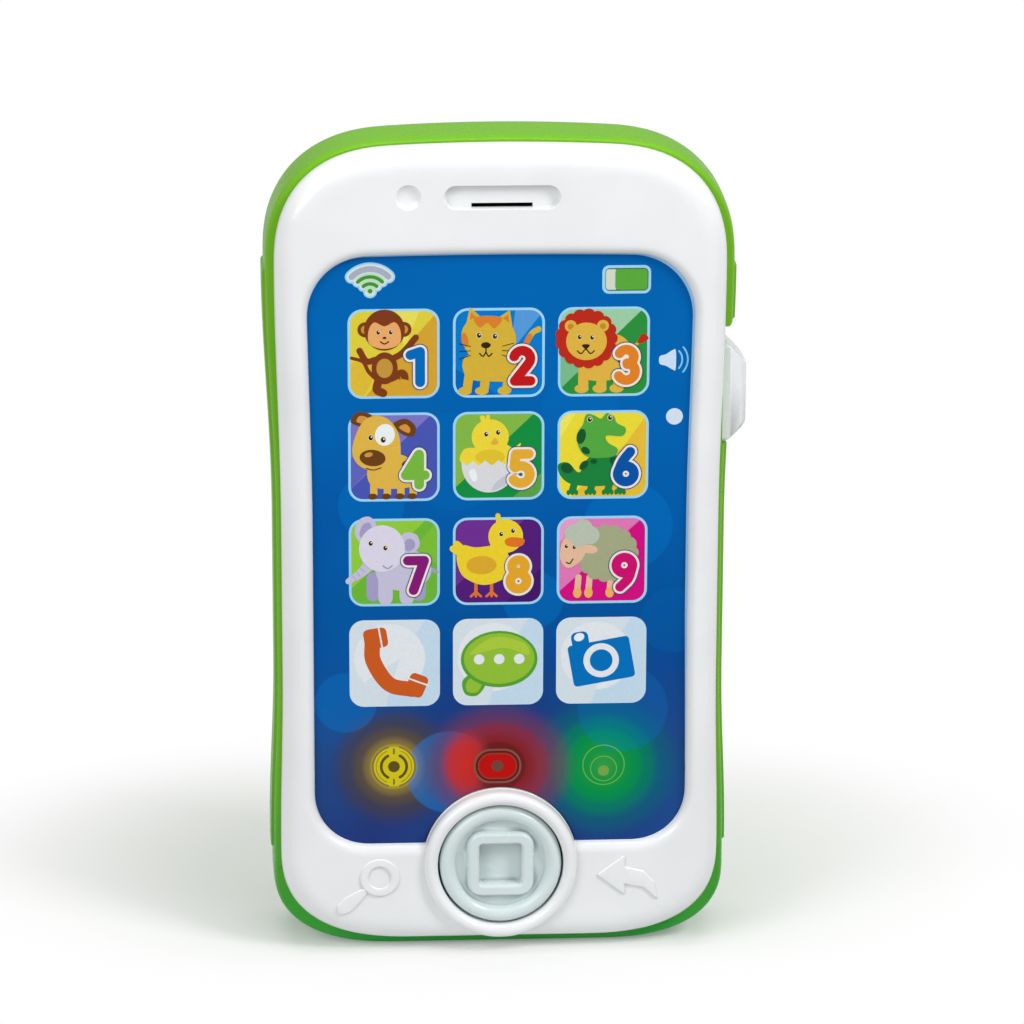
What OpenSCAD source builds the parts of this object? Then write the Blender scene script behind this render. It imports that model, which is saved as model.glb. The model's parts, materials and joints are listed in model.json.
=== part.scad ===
// Toy cell phone: a glossy two-part casing with a printed membrane keypad, a sprung home button,
// a side volume slider, three indicator lights, a rear speaker and three small cells.
// X runs to the viewer's right, the front faces -Y and +Z is up.
// The origin is the centre of the flat bottom that the phone stands on.

/* [Casing] */
// Height over the green rear shell
phone_h = 150; // [149:0.5:152]
// Half-width of the green rear shell at its waist, without the grip pads
shell_waist = 40.15; // [40:0.05:41]
// Depth from the middle plane to the back face
back_y = 14; // [13.5:0.25:15]
// Wall thickness of both shells
wall = 2; // [1.8:0.1:2.2]
// Height of the raised grip pads on the sides
pad_raise = 0.4; // [0.2:0.1:0.6]

/* [Screen] */
// Half-width of the screen window at its waist
window_waist = 33.5; // [33:0.1:34]
// Lower edge of the screen window
window_bottom = 20.6; // [20:0.1:21.5]
// Upper edge of the screen window
window_top = 129.6; // [128.5:0.1:130.5]
// Spacing of the three indicator lights
light_pitch = 18.9; // [18.5:0.1:19.2]
// Height of the row of indicator lights
light_z = 35; // [34.5:0.1:36]

/* [Home button] */
// Height of the home button's centre
home_z = 16.9; // [16.6:0.1:17.1]
// Diameter of the home button
home_d = 22.3; // [22:0.1:22.5]
// Travel of the home button
home_travel = 1.5; // [1:0.1:1.6]

/* [Volume slider] */
// Height of the slider knob's centre at its lower stop
knob_z = 102.8; // [102.4:0.1:103.2]
// Length of the slider knob
knob_l = 17.8; // [17:0.1:18]
// Travel of the slider knob
knob_travel = 2; // [1.5:0.1:2]

/* [Power and sound] */
// Diameter of each cell
cell_d = 10.5; // [10.3:0.1:10.5]
// Length of each cell's can, without its nub
cell_l = 43.5; // [43:0.1:43.6]
// Diameter of the speaker
speaker_d = 29; // [28:0.5:29.5]
// Height of the speaker's centre
speaker_z = 32; // [31.5:0.5:32.5]

/* [Hidden] */
$fn = 48;

// Heights between which the sides swell from the waist to the shoulder and to the hip
waist_top = 80;
shoulder_z = 126;
waist_bottom = 52;
hip_z = 20;
// Heights of the outline's points along the sides; the sides are straight between the middle two
side_levels = [26, 33, 40, 46, waist_bottom, waist_top, 88, 96, 104, 112, 119];

// An outline's form: waist half-width, swell at the shoulder, swell at the hip, bottom, top,
// drop of the arched top, top corner's width and height, bottom corner's, roundness exponent
SHELL = [shell_waist, 1.55, 0.95, 0, phone_h, 2.4, [22, 20], [22, 14.5], 2.4];
COVER = [39.08, 0.85, 0.57, 2, 148.9, 2, [21, 20], [24, 17], 2.5];
WINDOW = [window_waist, 0.75, 0, window_bottom, window_top, 0.5, [11, 11], [10, 10], 2.1];

// Depths of the layers, front to back
part_y = -7.6;       // parting line between the two shells
face_y = -12.4;      // front face of the white cover
ring_y = -13.9;      // crest of the ring round the home button
film_y = -10.5;      // front of the printed film, against the cover's inner face
film_t = 0.25;
spacer_y = film_y + film_t;
spacer_t = 0.2;
circuit_y = spacer_y + spacer_t;
circuit_t = 0.2;
plate_y = circuit_y + circuit_t;
plate_t = 1.8;
plate_back = plate_y + plate_t;
board_y = -3;        // front of both circuit boards
board_t = 1.6;
board_back = board_y + board_t;
inner_y = back_y - wall;

// Places of the repeated features
casing_screws = [[-27.5, 138], [27.5, 138], [-28.5, 10.2], [28.5, 10.2]];
plate_stakes = [[-22, 134.5], [22, 134.5], [-26, 17.2], [26, 17.2]];
cover_posts = [[-21, 11], [21, 11]];
plate_posts = [[-18.5, 57], [18.5, 57], [30.5, 93.5], [30.5, 111.5]];
light_x = [-light_pitch - 0.3, -0.3, light_pitch - 0.3];
door_x = 19.2;
door_z = [52, 120];
door_t = 1.6;
door_screw_z = [56.5, 115.5];
cell_pitch = 11;
cell_y = back_y - door_t - cell_d / 2 - 0.3;
nub = 1;
bay_x = 17.2;
bay_z = [61.8, 110.4];
bay_floor = cell_y - cell_d / 2 - 0.3;
cell_z = bay_z[0] + 3.2;            // flat end of an upright cell
flipped_z = bay_z[0] + 0.6 + nub;   // can of the cell that stands on its nub
clamp_r = speaker_d / 2 + 3.3;
flange_r = 12.2;
rim_ledge = 1.3;     // depth of the ledge that carries the rear shell's lip
gap = 0.1;

// ---- helpers ----

function ease(t) = (1 - cos(180 * min(1, max(0, t)))) / 2;

// Half-width of form f at height z
function side_w(f, z) =
    f[0]
    + f[1] * ease((z - waist_top) / (shoulder_z - waist_top))
    + f[2] * ease((waist_bottom - z) / (waist_bottom - hip_z));

// Right half of an outline, from the bottom corner to top centre, inset by d and by db at the bottom
function half_outline(f, d, db, nc = 8) =
    let (
        zb = f[3] + db,
        zt = f[4] - d,
        a = f[6][0] - d,
        b = f[6][1] - d,
        c = f[7][0] - d,
        e = f[7][1] - db,
        n = 2 / f[8],
        mid = (f[0] - d - a) / 2
    )
    concat(
        [for (i = [0:nc])
            let (z = zb + e - e * pow(cos(90 * i / nc), n))
            [side_w(f, z) - d - c + c * pow(sin(90 * i / nc), n), z]],
        [for (z = side_levels)
            if (z > zb + e + 2 && z < zt - b - f[5] - 2)
            [side_w(f, z) - d, z]],
        [for (i = [0:nc])
            let (
                z = zt - b + b * pow(sin(90 * i / nc), n),
                x = side_w(f, z) - d - a + a * pow(cos(90 * i / nc), n)
            )
            [x, z - f[5] * pow(x / f[0], 2)]],
        [[mid, zt - f[5] * pow(mid / f[0], 2)], [0, zt]]
    );

// Whole outline, anticlockwise as the viewer in front sees it
function outline(f, d = 0, db = undef) =
    let (h = half_outline(f, d, is_undef(db) ? d : db), n = len(h))
    concat(h, [for (i = [n - 2:-1:0]) [-h[i].x, h[i].y]]);

// Closed skin through outlines of form f, one for each row [depth, inset, inset at the bottom]
module loft(f, rows) {
    rings = [for (r = rows) [for (p = outline(f, r[1], r[2])) [p.x, r[0], p.y]]];
    n = len(rings[0]);
    last = len(rows) - 1;
    points = [for (ring = rings) each ring];
    skin = [for (k = [0:last - 1], j = [0:n - 1])
        let (a = k * n + j, b = k * n + (j + 1) % n)
        each [[a, b, b + n], [a, b + n, a + n]]];
    front = [[for (j = [n - 1:-1:0]) j]];
    back = [[for (j = [0:n - 1]) last * n + j]];
    polyhedron(points, concat(skin, front, back));
}

// A flat shape drawn in X-Z, filled from depth y0 back to y1
module slab(y0, y1) translate([0, y1, 0]) rotate([90, 0, 0]) linear_extrude(y1 - y0) children();

// A round pin along Y
module peg(p, y0, y1, r) translate([p.x, y1, p.y]) rotate([90, 0, 0]) cylinder(h = y1 - y0, r = r);

// A block given by its ranges along X, Y and Z
module block(x, y, z) translate([x[0], y[0], z[0]]) cube([x[1] - x[0], y[1] - y[0], z[1] - z[0]]);

// A profile of [radius, depth] points turned about a line along Y through p
module turned(p) translate([p.x, 0, p.y]) rotate([-90, 0, 0]) rotate_extrude() children();

// A rounded rectangle in X-Z, built from circles and rectangles
module soft_rect(w, h, r) {
    square([w - 2 * r, h], center = true);
    square([w, h - 2 * r], center = true);
    for (x = [-1, 1], z = [-1, 1]) translate([x * (w / 2 - r), z * (h / 2 - r)]) circle(r);
}

// A round tube of radius r along the points of path, which never runs along the direction up
module wire(path, r, up = [1, 0, 0], sides = 8) {
    n = len(path);
    rings = [for (i = [0:n - 1])
        let (
            t = path[min(n - 1, i + 1)] - path[max(0, i - 1)],
            w = t / norm(t),
            u = cross(up, w) / norm(cross(up, w)),
            v = cross(w, u)
        )
        [for (k = [0:sides - 1]) path[i] + r * (cos(360 * k / sides) * u + sin(360 * k / sides) * v)]];
    points = [for (ring = rings) each ring];
    skin = [for (i = [0:n - 2], k = [0:sides - 1])
        let (a = i * sides + k, b = i * sides + (k + 1) % sides)
        each [[a, b + sides, b], [a, a + sides, b + sides]]];
    ends = [[for (k = [0:sides - 1]) k], [for (k = [sides - 1:-1:0]) (n - 1) * sides + k]];
    polyhedron(points, concat(skin, ends));
}

// A pan-head screw that enters from behind: head at depth y, shank reaching forward
module screw(p, y, shank, r, head_r, head_h) {
    difference() {
        union() {
            peg(p, y, y + head_h, head_r);
            peg(p, y - shank, y, r);
        }
        for (a = [0, 90])
            translate([p.x, y + head_h, p.y]) rotate([0, a, 0]) cube([head_r * 1.2, head_h, 0.6], center = true);
    }
}

// ---- casing ----

module front_cover() color("white") {
    difference() {
        union() {
            difference() {
                loft(COVER, [[face_y, 5.2, 5.2], [-12.15, 3.2, 3.2], [-11.6, 1.8, 1.8], [-10.7, 0.75, 0.75],
                             [-9.3, 0.12, 0.12], [part_y, 0, 0]]);
                slab(film_y, part_y + 1) polygon(outline(COVER, wall));
                slab(face_y - 1, film_y + 1) difference() {
                    polygon(outline(WINDOW));
                    translate([0, home_z]) circle(13);
                }
            }
            home_ring();
            for (p = casing_screws) peg(p, film_y - 0.5, -1.2, 2.9);
            for (p = cover_posts) peg(p, film_y - 0.5, board_y, 2.4);
            for (p = plate_stakes) {
                peg(p, film_y - 0.5, plate_back + 0.7, 1);
                peg(p, plate_back, plate_back + 0.7, 1.6);
            }
            slab(face_y - 0.25, face_y + 0.5) raised_signs();
        }
        peg([0, home_z], ring_y - 2, film_y + 4, home_d / 2 + 0.25);
        slab(face_y - 1, face_y + 0.9) translate([0, 139.9]) soft_rect(20.3, 4.1, 2.04);
        slab(face_y - 1, film_y + 1) translate([0, 138.3]) square([10.7, 0.8], center = true);
        peg([-16.4, 140], face_y - 1, face_y + 0.7, 2.15);
        for (p = casing_screws) peg(p, film_y + 1.5, 0, 1.1);
        for (p = cover_posts) peg(p, film_y + 1.5, 0, 0.85);
    }
}

// Raised ring round the home button, with a rib behind it that stops the button turning
module home_ring() {
    inner = home_d / 2 + 0.1;
    bead = 1.3;
    crest = [for (a = [180:22.5:360]) [inner + bead + bead * cos(a), ring_y + bead + bead * sin(a)]];
    turned([0, home_z])
        polygon(concat(crest, [[inner + 2 * bead, film_y + 1.9], [inner, film_y + 1.9]]));
    block([-0.6, 0.6], [film_y + 1, part_y + 2.2], [home_z - 13.4, home_z - 11.75]);
}

// Raised magnifier and back arrow beside the home button
module raised_signs() {
    translate([-21.9, 14.7]) {
        difference() {
            circle(3.5);
            circle(2.1);
        }
        rotate(45) translate([-8.2, 0]) soft_rect(5, 2.6, 1.25);
    }
    translate([23.1, 13.8]) {
        polygon([[-5.5, 0.8], [-0.6, 4.4], [-0.6, 2.2], [2.6, 1.4], [4.6, -0.6], [5.4, -4],
                 [3, -1.8], [-0.6, -1], [-0.6, -3]]);
    }
}

module rear_cover() color([0.36, 0.75, 0.24]) {
    difference() {
        union() {
            difference() {
                union() {
                    loft(SHELL, [[part_y + gap, 0.75, 0.9], [-6.9, 0.4, 0.35], [-5.4, 0.15, 0], [-1, 0, 0],
                                 [5, 0, 0], [7.5, 0.35, 0], [10, 1.3, 0.9], [12, 3, 2.4], [13.3, 5.2, 4.8],
                                 [back_y, 8, 8]]);
                    slab(-5, 6) grip_pads();
                }
                slab(part_y - 1, 8.5) polygon(outline(SHELL, wall + 0.3));
                slab(8, 10.5) polygon(outline(SHELL, wall + 2.2));
                slab(10, inner_y) polygon(outline(SHELL, wall + 4.5));
            }
            slab(part_y - 1.7, part_y + rim_ledge) inside_rim(outline(COVER, wall + gap));
            slab(part_y + gap, part_y + rim_ledge) inside_rim(outline(SHELL, 1));
            block([37.4, 39.5], [part_y + gap, 8], [91, 117]);
            for (p = casing_screws) peg(p, -1.1, inner_y - 1, 4.3);
            battery_bay();
            for (z = door_screw_z) peg([0, z], 3.6, inner_y + 0.3, 3.2);
            turned([0, speaker_z]) translate([speaker_d / 2 + 0.2, inner_y - 4]) square([1.4, 4.5]);
            for (a = [90, 210, 330]) peg(around_speaker(a), inner_y - 4, inner_y + 0.5, 2.3);
        }
        for (p = casing_screws) {
            peg(p, 0, back_y + 1, 3);
            peg(p, -3, 1, 1.4);
        }
        slab(back_y - door_t, back_y + 1) door_shape(0.2);
        block([-bay_x, bay_x], [bay_floor, back_y], bay_z);
        for (z = door_screw_z) peg([0, z], 4.4, back_y, 1.05);
        for (a = [90, 210, 330]) peg(around_speaker(a), inner_y - 5, inner_y - 0.6, 0.9);
        speaker_holes();
        slider_recess();
        for (x = [-12, 12]) block([x - 1, x + 1], [bay_floor + 1, bay_floor + 3], [bay_z[0] - 3, bay_z[0] + 1]);
    }
}

// A ring from the given outline in to the lip that locates the front cover, left open under the home
// button and round the screw posts
module inside_rim(outer) difference() {
    polygon(outer);
    polygon(outline(COVER, wall + 1.1));
    translate([0, home_z]) circle(16);
    for (p = casing_screws) translate(p) circle(3.3);
    for (p = plate_stakes) translate(p) circle(3);
}

function around_speaker(a) = [clamp_r * cos(a), speaker_z + clamp_r * sin(a)];

// Flat raised pads that run down both sides
module grip_pads() {
    intersection() {
        difference() {
            polygon(outline(SHELL, -pad_raise));
            polygon(outline(SHELL, 1));
        }
        translate([-50, 18.6]) square([100, 107.4]);
    }
}

// Box that holds the cells, open to the rear
module battery_bay() {
    w = 1.4;
    block([-bay_x - w, bay_x + w], [bay_floor - w, inner_y + 0.5], [bay_z[0] - w, bay_z[1] + w]);
    block([-door_x - w, door_x + w], [inner_y - 1.6, inner_y + 0.3], [door_z[0] - w, door_z[1] + w]);
}

module door_shape(grow) {
    translate([0, (door_z[0] + door_z[1]) / 2])
        soft_rect(2 * door_x + 2 * grow, door_z[1] - door_z[0] + 2 * grow, 4 + grow);
}

// Rings of small sound holes over the speaker
module speaker_holes() {
    peg([0, speaker_z], inner_y - 1, back_y + 1, 1);
    for (k = [1:3], i = [0:6 * k - 1])
        peg([3.4 * k * cos(60 * i / k), speaker_z + 3.4 * k * sin(60 * i / k)], inner_y - 1, back_y + 1, 1);
}

// Recess in the right side for the knob, sloped out behind it, with the slot that its neck runs in
module slider_recess() {
    floor_x = 39.6;
    floor_back = 5.2;
    outside = shell_waist + 5.85;
    top = knob_z + knob_l / 2 + knob_travel + 0.4;
    bottom = knob_z - knob_l / 2 - 0.4;
    slab(part_y - 1, floor_back)
        polygon([[floor_x, bottom], [outside, bottom - 1.5], [outside, top + 5], [floor_x + 1, top],
                 [floor_x, top]]);
    translate([0, 0, bottom]) linear_extrude(top - bottom)
        polygon([[floor_x, floor_back - gap], [outside, floor_back - gap], [outside, back_y - 1],
                 [floor_x + 1.6, back_y - 2.7]]);
    block([36, 41], [-3.3, 2.3], [knob_z - 4.3, knob_z + 4.3 + knob_travel]);
}

// ---- screen stack ----

module film_shape(grow) {
    difference() {
        polygon(outline(WINDOW, -grow));
        translate([0, home_z]) circle(14.2);
    }
}

module light_holes(r) for (x = light_x) translate([x, light_z]) circle(r);

module screen_film() color([0.05, 0.35, 0.7]) slab(film_y, spacer_y) film_shape(1.3);

module key_spacer() color([0.9, 0.9, 0.85]) slab(spacer_y, circuit_y) difference() {
    film_shape(1.1);
    light_holes(4.2);
    for (x = light_x, z = [54.7, 73.5, 92.9, 111.7]) translate([x, z]) circle(6);
}

module keypad_circuit() color([0.85, 0.87, 0.9]) {
    slab(circuit_y, plate_y) difference() {
        film_shape(1.1);
        light_holes(4.2);
    }
    block([-7, 7], [plate_y - 0.05, -4], [46.6, 46.8]);
}

module screen_plate() color([0.92, 0.92, 0.9]) {
    difference() {
        union() {
            slab(plate_y, plate_back) {
                difference() {
                    polygon(outline(WINDOW, -1.9));
                    translate([0, home_z]) circle(14.6);
                }
                for (p = plate_stakes) plate_ear(p);
            }
            for (p = plate_posts) peg(p, plate_y + 0.5, board_y, 2.3);
        }
        slab(plate_y - 1, plate_back + 1) {
            light_holes(4.4);
            translate([0, 46.7]) square([16, 1.8], center = true);
        }
        for (p = plate_stakes) peg(p, plate_y - 1, plate_back + 1, 1.05);
        for (p = plate_posts) peg(p, plate_y + 0.8, board_y + 1, 0.85);
    }
}

// Ear that reaches from the plate's edge to the stake at p
module plate_ear(p) {
    inward = p.y > 100 ? -4 : 4;
    translate(p) circle(2.6);
    translate([p.x - 2.6, min(p.y, p.y + inward)]) square([5.2, 4]);
}

// ---- home button ----

module home_button() color([0.78, 0.83, 0.83]) {
    r = home_d / 2;
    back = part_y - 0.6;
    difference() {
        union() {
            turned([0, home_z]) {
                polygon([[0, -12], [7.6, -12], [8.6, -12.9], [9.6, -13.3], [10.4, -13.1], [r - 0.1, -12.2],
                         [r - 0.1, back], [flange_r, back], [flange_r, back + 1], [0, back + 1]]);
                translate([0, back + 0.5]) square([3, 1.5]);
            }
            slab(-12.9, -11.5) translate([0, home_z]) soft_rect(12.1, 12.1, 2.6);
        }
        slab(-15, -11.2) translate([0, home_z]) soft_rect(7.6, 7.6, 0.6);
        block([-0.9, 0.9], [back - 0.5, back + 2], [home_z - 14, home_z - 11.6]);
    }
}

module home_dome() color([0.3, 0.3, 0.32]) {
    top = part_y + 1.5;
    turned([0, home_z])
        polygon([[0, top], [2.4, top], [3, top + 0.4], [4.6, board_y - 0.6], [5.4, board_y - 0.5], [5.4, board_y],
                 [3.9, board_y], [2.4, top + 1.2], [0, top + 1.2]]);
}

// ---- volume slider ----

module slider_knob() color([0.9, 0.93, 0.93]) {
    half = knob_l / 2;
    crest_x = 44;
    base_x = 39.9;
    drop = crest_x - base_x - 0.8;
    difference() {
        slab(-6.2, 4.2) translate([0, knob_z])
            polygon([[base_x, -half], [base_x + 0.8, -half], [crest_x, -half + drop], [crest_x, half - drop],
                     [base_x + 0.8, half], [base_x, half]]);
        for (s = [0, 1]) translate([crest_x, s * 10.4 - 6.2, knob_z]) rotate([0, 0, 45])
            cube([1.8, 1.8, knob_l + 1], center = true);
        for (k = [-2:2]) translate([crest_x + 0.2, -1, knob_z + k * 2]) rotate([0, 45, 0])
            cube([0.7, 8, 0.7], center = true);
    }
    block([36.9, base_x + 0.1], [-3, 2], [knob_z - 4, knob_z + 4]);
    block([35.6, 37.1], [-5, 4], [knob_z - 7, knob_z + 7]);
    for (s = [-1, 1]) block([33.9, 35.7], [-1, 1], [knob_z + s * 1.3 - 0.5, knob_z + s * 1.3 + 0.5]);
}

module slide_switch_body() color([0.75, 0.76, 0.78]) difference() {
    block([29.4, 33.3], [-1.8, 1.7], [knob_z - 3.3, knob_z + 5.3]);
    block([31.4, 34], [-0.8, 0.8], [knob_z - 0.9, knob_z + knob_travel + 0.9]);
}

module slide_switch_lever() color([0.12, 0.12, 0.13])
    block([31.6, 35.4], [-0.7, 0.7], [knob_z - 0.7, knob_z + 0.7]);

// ---- circuit boards ----

module switch_board() color([0.1, 0.45, 0.2]) difference() {
    block([22.8, 34.6], [board_y, -1.8], [90.6, 114]);
    for (p = [plate_posts[2], plate_posts[3]]) peg(p, board_y - 1, 0, 1.1);
}

module main_board() color([0.1, 0.45, 0.2]) difference() {
    slab(board_y, board_back) translate([0, 34.4]) soft_rect(50, 53, 2);
    for (p = concat(cover_posts, [plate_posts[0], plate_posts[1]])) peg(p, board_y - 1, 0, 1.1);
}

module keypad_connector() color([0.95, 0.93, 0.85]) difference() {
    block([-8.5, 8.5], [board_y - 2, board_y], [44.9, 48.5]);
    block([-7.1, 7.1], [board_y - 3, board_y - 0.9], [46.5, 46.9]);
}

module processor_blob() color([0.06, 0.06, 0.07])
    turned([-8, 45]) polygon([[0, board_back], [5.4, board_back], [4.9, board_back + 0.9],
                              [3.2, board_back + 1.6], [0, board_back + 1.9]]);

module capacitors() color([0.15, 0.2, 0.45])
    for (x = [-16, 14, 20]) peg([x, 51.5], board_back, board_back + 6.5, 2.4);

module resistors() color([0.1, 0.1, 0.1])
    for (x = [-21, -17.5, 8, 11.5, 15], z = [22, 42])
        block([x, x + 2], [board_back, board_back + 0.6], [z, z + 1.25]);

module crystal() color([0.8, 0.8, 0.82])
    slab(board_back, board_back + 2.4) translate([2.5, 40]) soft_rect(8, 3.6, 1.7);

module led(x) {
    turned([x, light_z]) {
        translate([0, board_y - 3.2]) square([1.5, 2.5]);
        translate([0, board_y - 0.9]) square([1.9, 0.9]);
        intersection() {
            translate([0, board_y - 3.2]) circle(1.5);
            translate([0, board_y - 5]) square([2, 3]);
        }
    }
}

module led_yellow() color([0.95, 0.85, 0.25]) led(light_x[0]);
module led_red() color([0.9, 0.12, 0.12]) led(light_x[1]);
module led_green() color([0.2, 0.85, 0.3]) led(light_x[2]);

// Three tubes in one moulding that keep each light to its own window
module light_baffle() color([0.15, 0.15, 0.16]) difference() {
    slab(plate_back + 0.05, board_y - 0.05) {
        light_holes(5.2);
        translate([-0.3, light_z]) square([2 * light_pitch, 2], center = true);
    }
    for (x = light_x) peg([x, light_z], plate_back - 1, board_y + 1, 4.4);
}

// ---- speaker ----

module speaker_basket() color([0.7, 0.71, 0.73]) {
    r = speaker_d / 2;
    difference() {
        turned([0, speaker_z])
            polygon([[7.6, 4.8], [9.6, 4.8], [r - 1.6, 10.4], [r, 10.4], [r, inner_y], [r - 1.4, inner_y],
                     [r - 1.4, 11.2], [r - 2.2, 11.2], [8.6, 5.7], [7.6, 5.7]]);
        for (a = [45:90:315]) translate([0, 8, speaker_z]) rotate([0, a, 0]) translate([9.6, 0, 0])
            cube([3.4, 2.6, 5], center = true);
    }
}

module speaker_magnet() color([0.25, 0.25, 0.27])
    turned([0, speaker_z]) translate([0, 3.4]) square([7.55, 4]);

module speaker_cone() color([0.18, 0.18, 0.2]) {
    r = speaker_d / 2 - 1.6;
    turned([0, speaker_z])
        polygon([[0, 9.6], [3.6, 9], [4.2, 7.6], [4.6, 7.6], [5.4, 8.4], [10, 10.9], [r - 0.6, 11.25],
                 [r, 11.3], [r, 11.6], [r - 1, 11.8], [9.8, 11.1], [4.2, 8.9], [3.8, 9.4], [0, 10]]);
}

module speaker_clamp() color([0.92, 0.92, 0.9]) {
    y0 = inner_y - 5.2;
    difference() {
        slab(y0, inner_y - 4) {
            translate([0, speaker_z]) circle(speaker_d / 2 + 1.4);
            for (a = [90, 210, 330]) translate(around_speaker(a)) circle(2.6);
        }
        peg([0, speaker_z], y0 - 1, inner_y, speaker_d / 2 - 1.4);
        for (a = [90, 210, 330]) peg(around_speaker(a), y0 - 1, inner_y, 1.1);
    }
    turned([0, speaker_z]) translate([speaker_d / 2 - 1.4, y0]) square([1.2, 3.6]);
}

module speaker_screws() color([0.7, 0.7, 0.72])
    for (a = [90, 210, 330]) mirror([0, 1, 0])
        screw(around_speaker(a), 5.2 - inner_y, 4.4, 0.85, 1.8, 1.2);

// ---- cells ----

module battery_door() color([0.36, 0.75, 0.24]) difference() {
    slab(back_y - door_t, back_y) door_shape(0);
    for (z = door_screw_z) {
        peg([0, z], back_y - 3, back_y + 1, 1.2);
        peg([0, z], back_y - 0.9, back_y + 1, 2.5);
    }
    for (k = [-2:2]) block([-6, 6], [back_y - 0.5, back_y + 1], [84 + k * 3, 85.2 + k * 3]);
}

module door_screws() color([0.7, 0.7, 0.72])
    for (z = door_screw_z) screw([0, z], back_y - 0.9, 6.5, 1, 2.3, 0.8);

module cell(k, flip) {
    translate([k * cell_pitch, cell_y, flip ? flipped_z : cell_z]) {
        cylinder(h = cell_l, d = cell_d);
        translate([0, 0, flip ? -nub : cell_l - 0.1]) cylinder(h = nub + 0.1, d = 3.8);
    }
}

module battery_1() color([0.2, 0.25, 0.3]) cell(-1, false);
module battery_2() color([0.2, 0.25, 0.3]) cell(0, true);
module battery_3() color([0.2, 0.25, 0.3]) cell(1, false);

// Tapered contact spring that presses on the flat end of a cell, wound about Z at x
module contact_spring(x, z0, z1) {
    turns = 3;
    steps = 12 * turns;
    wire([for (i = [0:steps])
        let (t = i / steps, r = 3.6 - 1.6 * t)
        [x + r * cos(360 * turns * t), cell_y + r * sin(360 * turns * t), z0 + (z1 - z0) * t]], 0.3, [0, 0, 1], 6);
}

module battery_springs() color([0.8, 0.8, 0.82]) {
    contact_spring(-cell_pitch, bay_z[0] + 0.85, cell_z - 0.35);
    contact_spring(cell_pitch, bay_z[0] + 0.85, cell_z - 0.35);
    contact_spring(0, bay_z[1] - 0.9, flipped_z + cell_l + 0.35);
}

module battery_plates() color([0.85, 0.85, 0.87])
    for (x = [-cell_pitch, 0, cell_pitch], z = [bay_z[0] + 0.05, bay_z[1] - 0.5])
        block([x - 4.5, x + 4.5], [bay_floor + 0.3, bay_floor + 9.5], [z, z + 0.45]);

// ---- fasteners ----

module housing_screws() color([0.7, 0.7, 0.72])
    for (p = casing_screws) screw(p, 0.05, 8.5, 1.05, 2.5, 1.8);

module board_screws() color([0.7, 0.7, 0.72]) {
    for (p = cover_posts) screw(p, board_back, 5.5, 0.8, 1.8, 1.2);
    for (p = [plate_posts[0], plate_posts[1]]) screw(p, board_back, 5.5, 0.8, 1.8, 1.2);
    for (p = [plate_posts[2], plate_posts[3]]) screw(p, -1.8, 4.5, 0.8, 1.8, 1.2);
}

// ---- wires ----

module battery_wires() color([0.75, 0.1, 0.1])
    for (x = [-12, 12])
        wire([[x, 3.2, bay_z[0]], [x, 3.2, 59], [x, 2.6, 57.3], [x, 1, 56.5], [x, board_back, 56.5]], 0.55);

module speaker_wires() color([0.1, 0.1, 0.12])
    for (x = [-4.6, -2.6])
        wire([[x, board_back, 22], [x, 0.6, 22], [x, 2.2, 22.6], [x, 3.4, 23.6], [x, 4.8, 23.6]], 0.5);

module switch_wires() color([0.85, 0.85, 0.85])
    for (x = [23.6, 24.9, 26.2])
        wire([[x, -1.8, 98], [x, -1, 98], [x, -0.3, 97.2], [x, 0, 96], [x, 0, 66], [x - 0.6, 0, 63],
              [x - 1.6, -0.1, 60.6], [x - 1.8, -0.6, 59.8], [x - 1.8, board_back, 59.8]], 0.5);

front_cover();
rear_cover();
screen_film();
key_spacer();
keypad_circuit();
screen_plate();
home_button();
home_dome();
slider_knob();
slide_switch_body();
slide_switch_lever();
switch_board();
main_board();
keypad_connector();
processor_blob();
capacitors();
resistors();
crystal();
led_yellow();
led_red();
led_green();
light_baffle();
speaker_basket();
speaker_magnet();
speaker_cone();
speaker_clamp();
speaker_screws();
battery_door();
door_screws();
battery_1();
battery_2();
battery_3();
battery_springs();
battery_plates();
housing_screws();
board_screws();
battery_wires();
speaker_wires();
switch_wires();
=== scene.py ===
"""Looks of the toy cell phone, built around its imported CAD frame.

Lengths are in millimetres until a mesh is made, and the frame is the CAD one: X runs to the viewer's
right, the screen faces -Y and +Z is up. Both shells, the button, its rubber dome, the knob and the door
are rebuilt as fine meshes, the printed screen is a patterned film with flat inks laid on it, and every
other CAD node keeps its shape and gets a material.
"""

import json
import math

import bmesh
import bpy
import numpy as np
from mathutils import Matrix, Vector
from mathutils.geometry import delaunay_2d_cdt, tessellate_polygon


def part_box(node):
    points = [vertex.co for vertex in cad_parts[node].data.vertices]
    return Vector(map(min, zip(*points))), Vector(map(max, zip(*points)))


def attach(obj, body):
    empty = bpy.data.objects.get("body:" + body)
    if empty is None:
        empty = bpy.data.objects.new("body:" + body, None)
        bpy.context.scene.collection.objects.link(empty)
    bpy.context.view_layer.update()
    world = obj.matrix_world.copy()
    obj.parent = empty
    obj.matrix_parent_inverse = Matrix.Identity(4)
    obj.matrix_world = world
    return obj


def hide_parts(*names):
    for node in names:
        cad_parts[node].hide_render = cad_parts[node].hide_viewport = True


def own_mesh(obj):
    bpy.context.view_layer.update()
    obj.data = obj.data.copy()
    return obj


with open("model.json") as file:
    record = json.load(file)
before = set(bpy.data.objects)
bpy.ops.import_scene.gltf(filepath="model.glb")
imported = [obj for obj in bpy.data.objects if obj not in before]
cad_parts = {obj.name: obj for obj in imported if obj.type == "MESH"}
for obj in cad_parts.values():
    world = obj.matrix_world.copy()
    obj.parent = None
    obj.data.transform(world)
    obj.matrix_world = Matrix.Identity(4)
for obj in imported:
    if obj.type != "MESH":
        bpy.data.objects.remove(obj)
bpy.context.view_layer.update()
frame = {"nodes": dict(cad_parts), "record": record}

MM = 0.001


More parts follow.
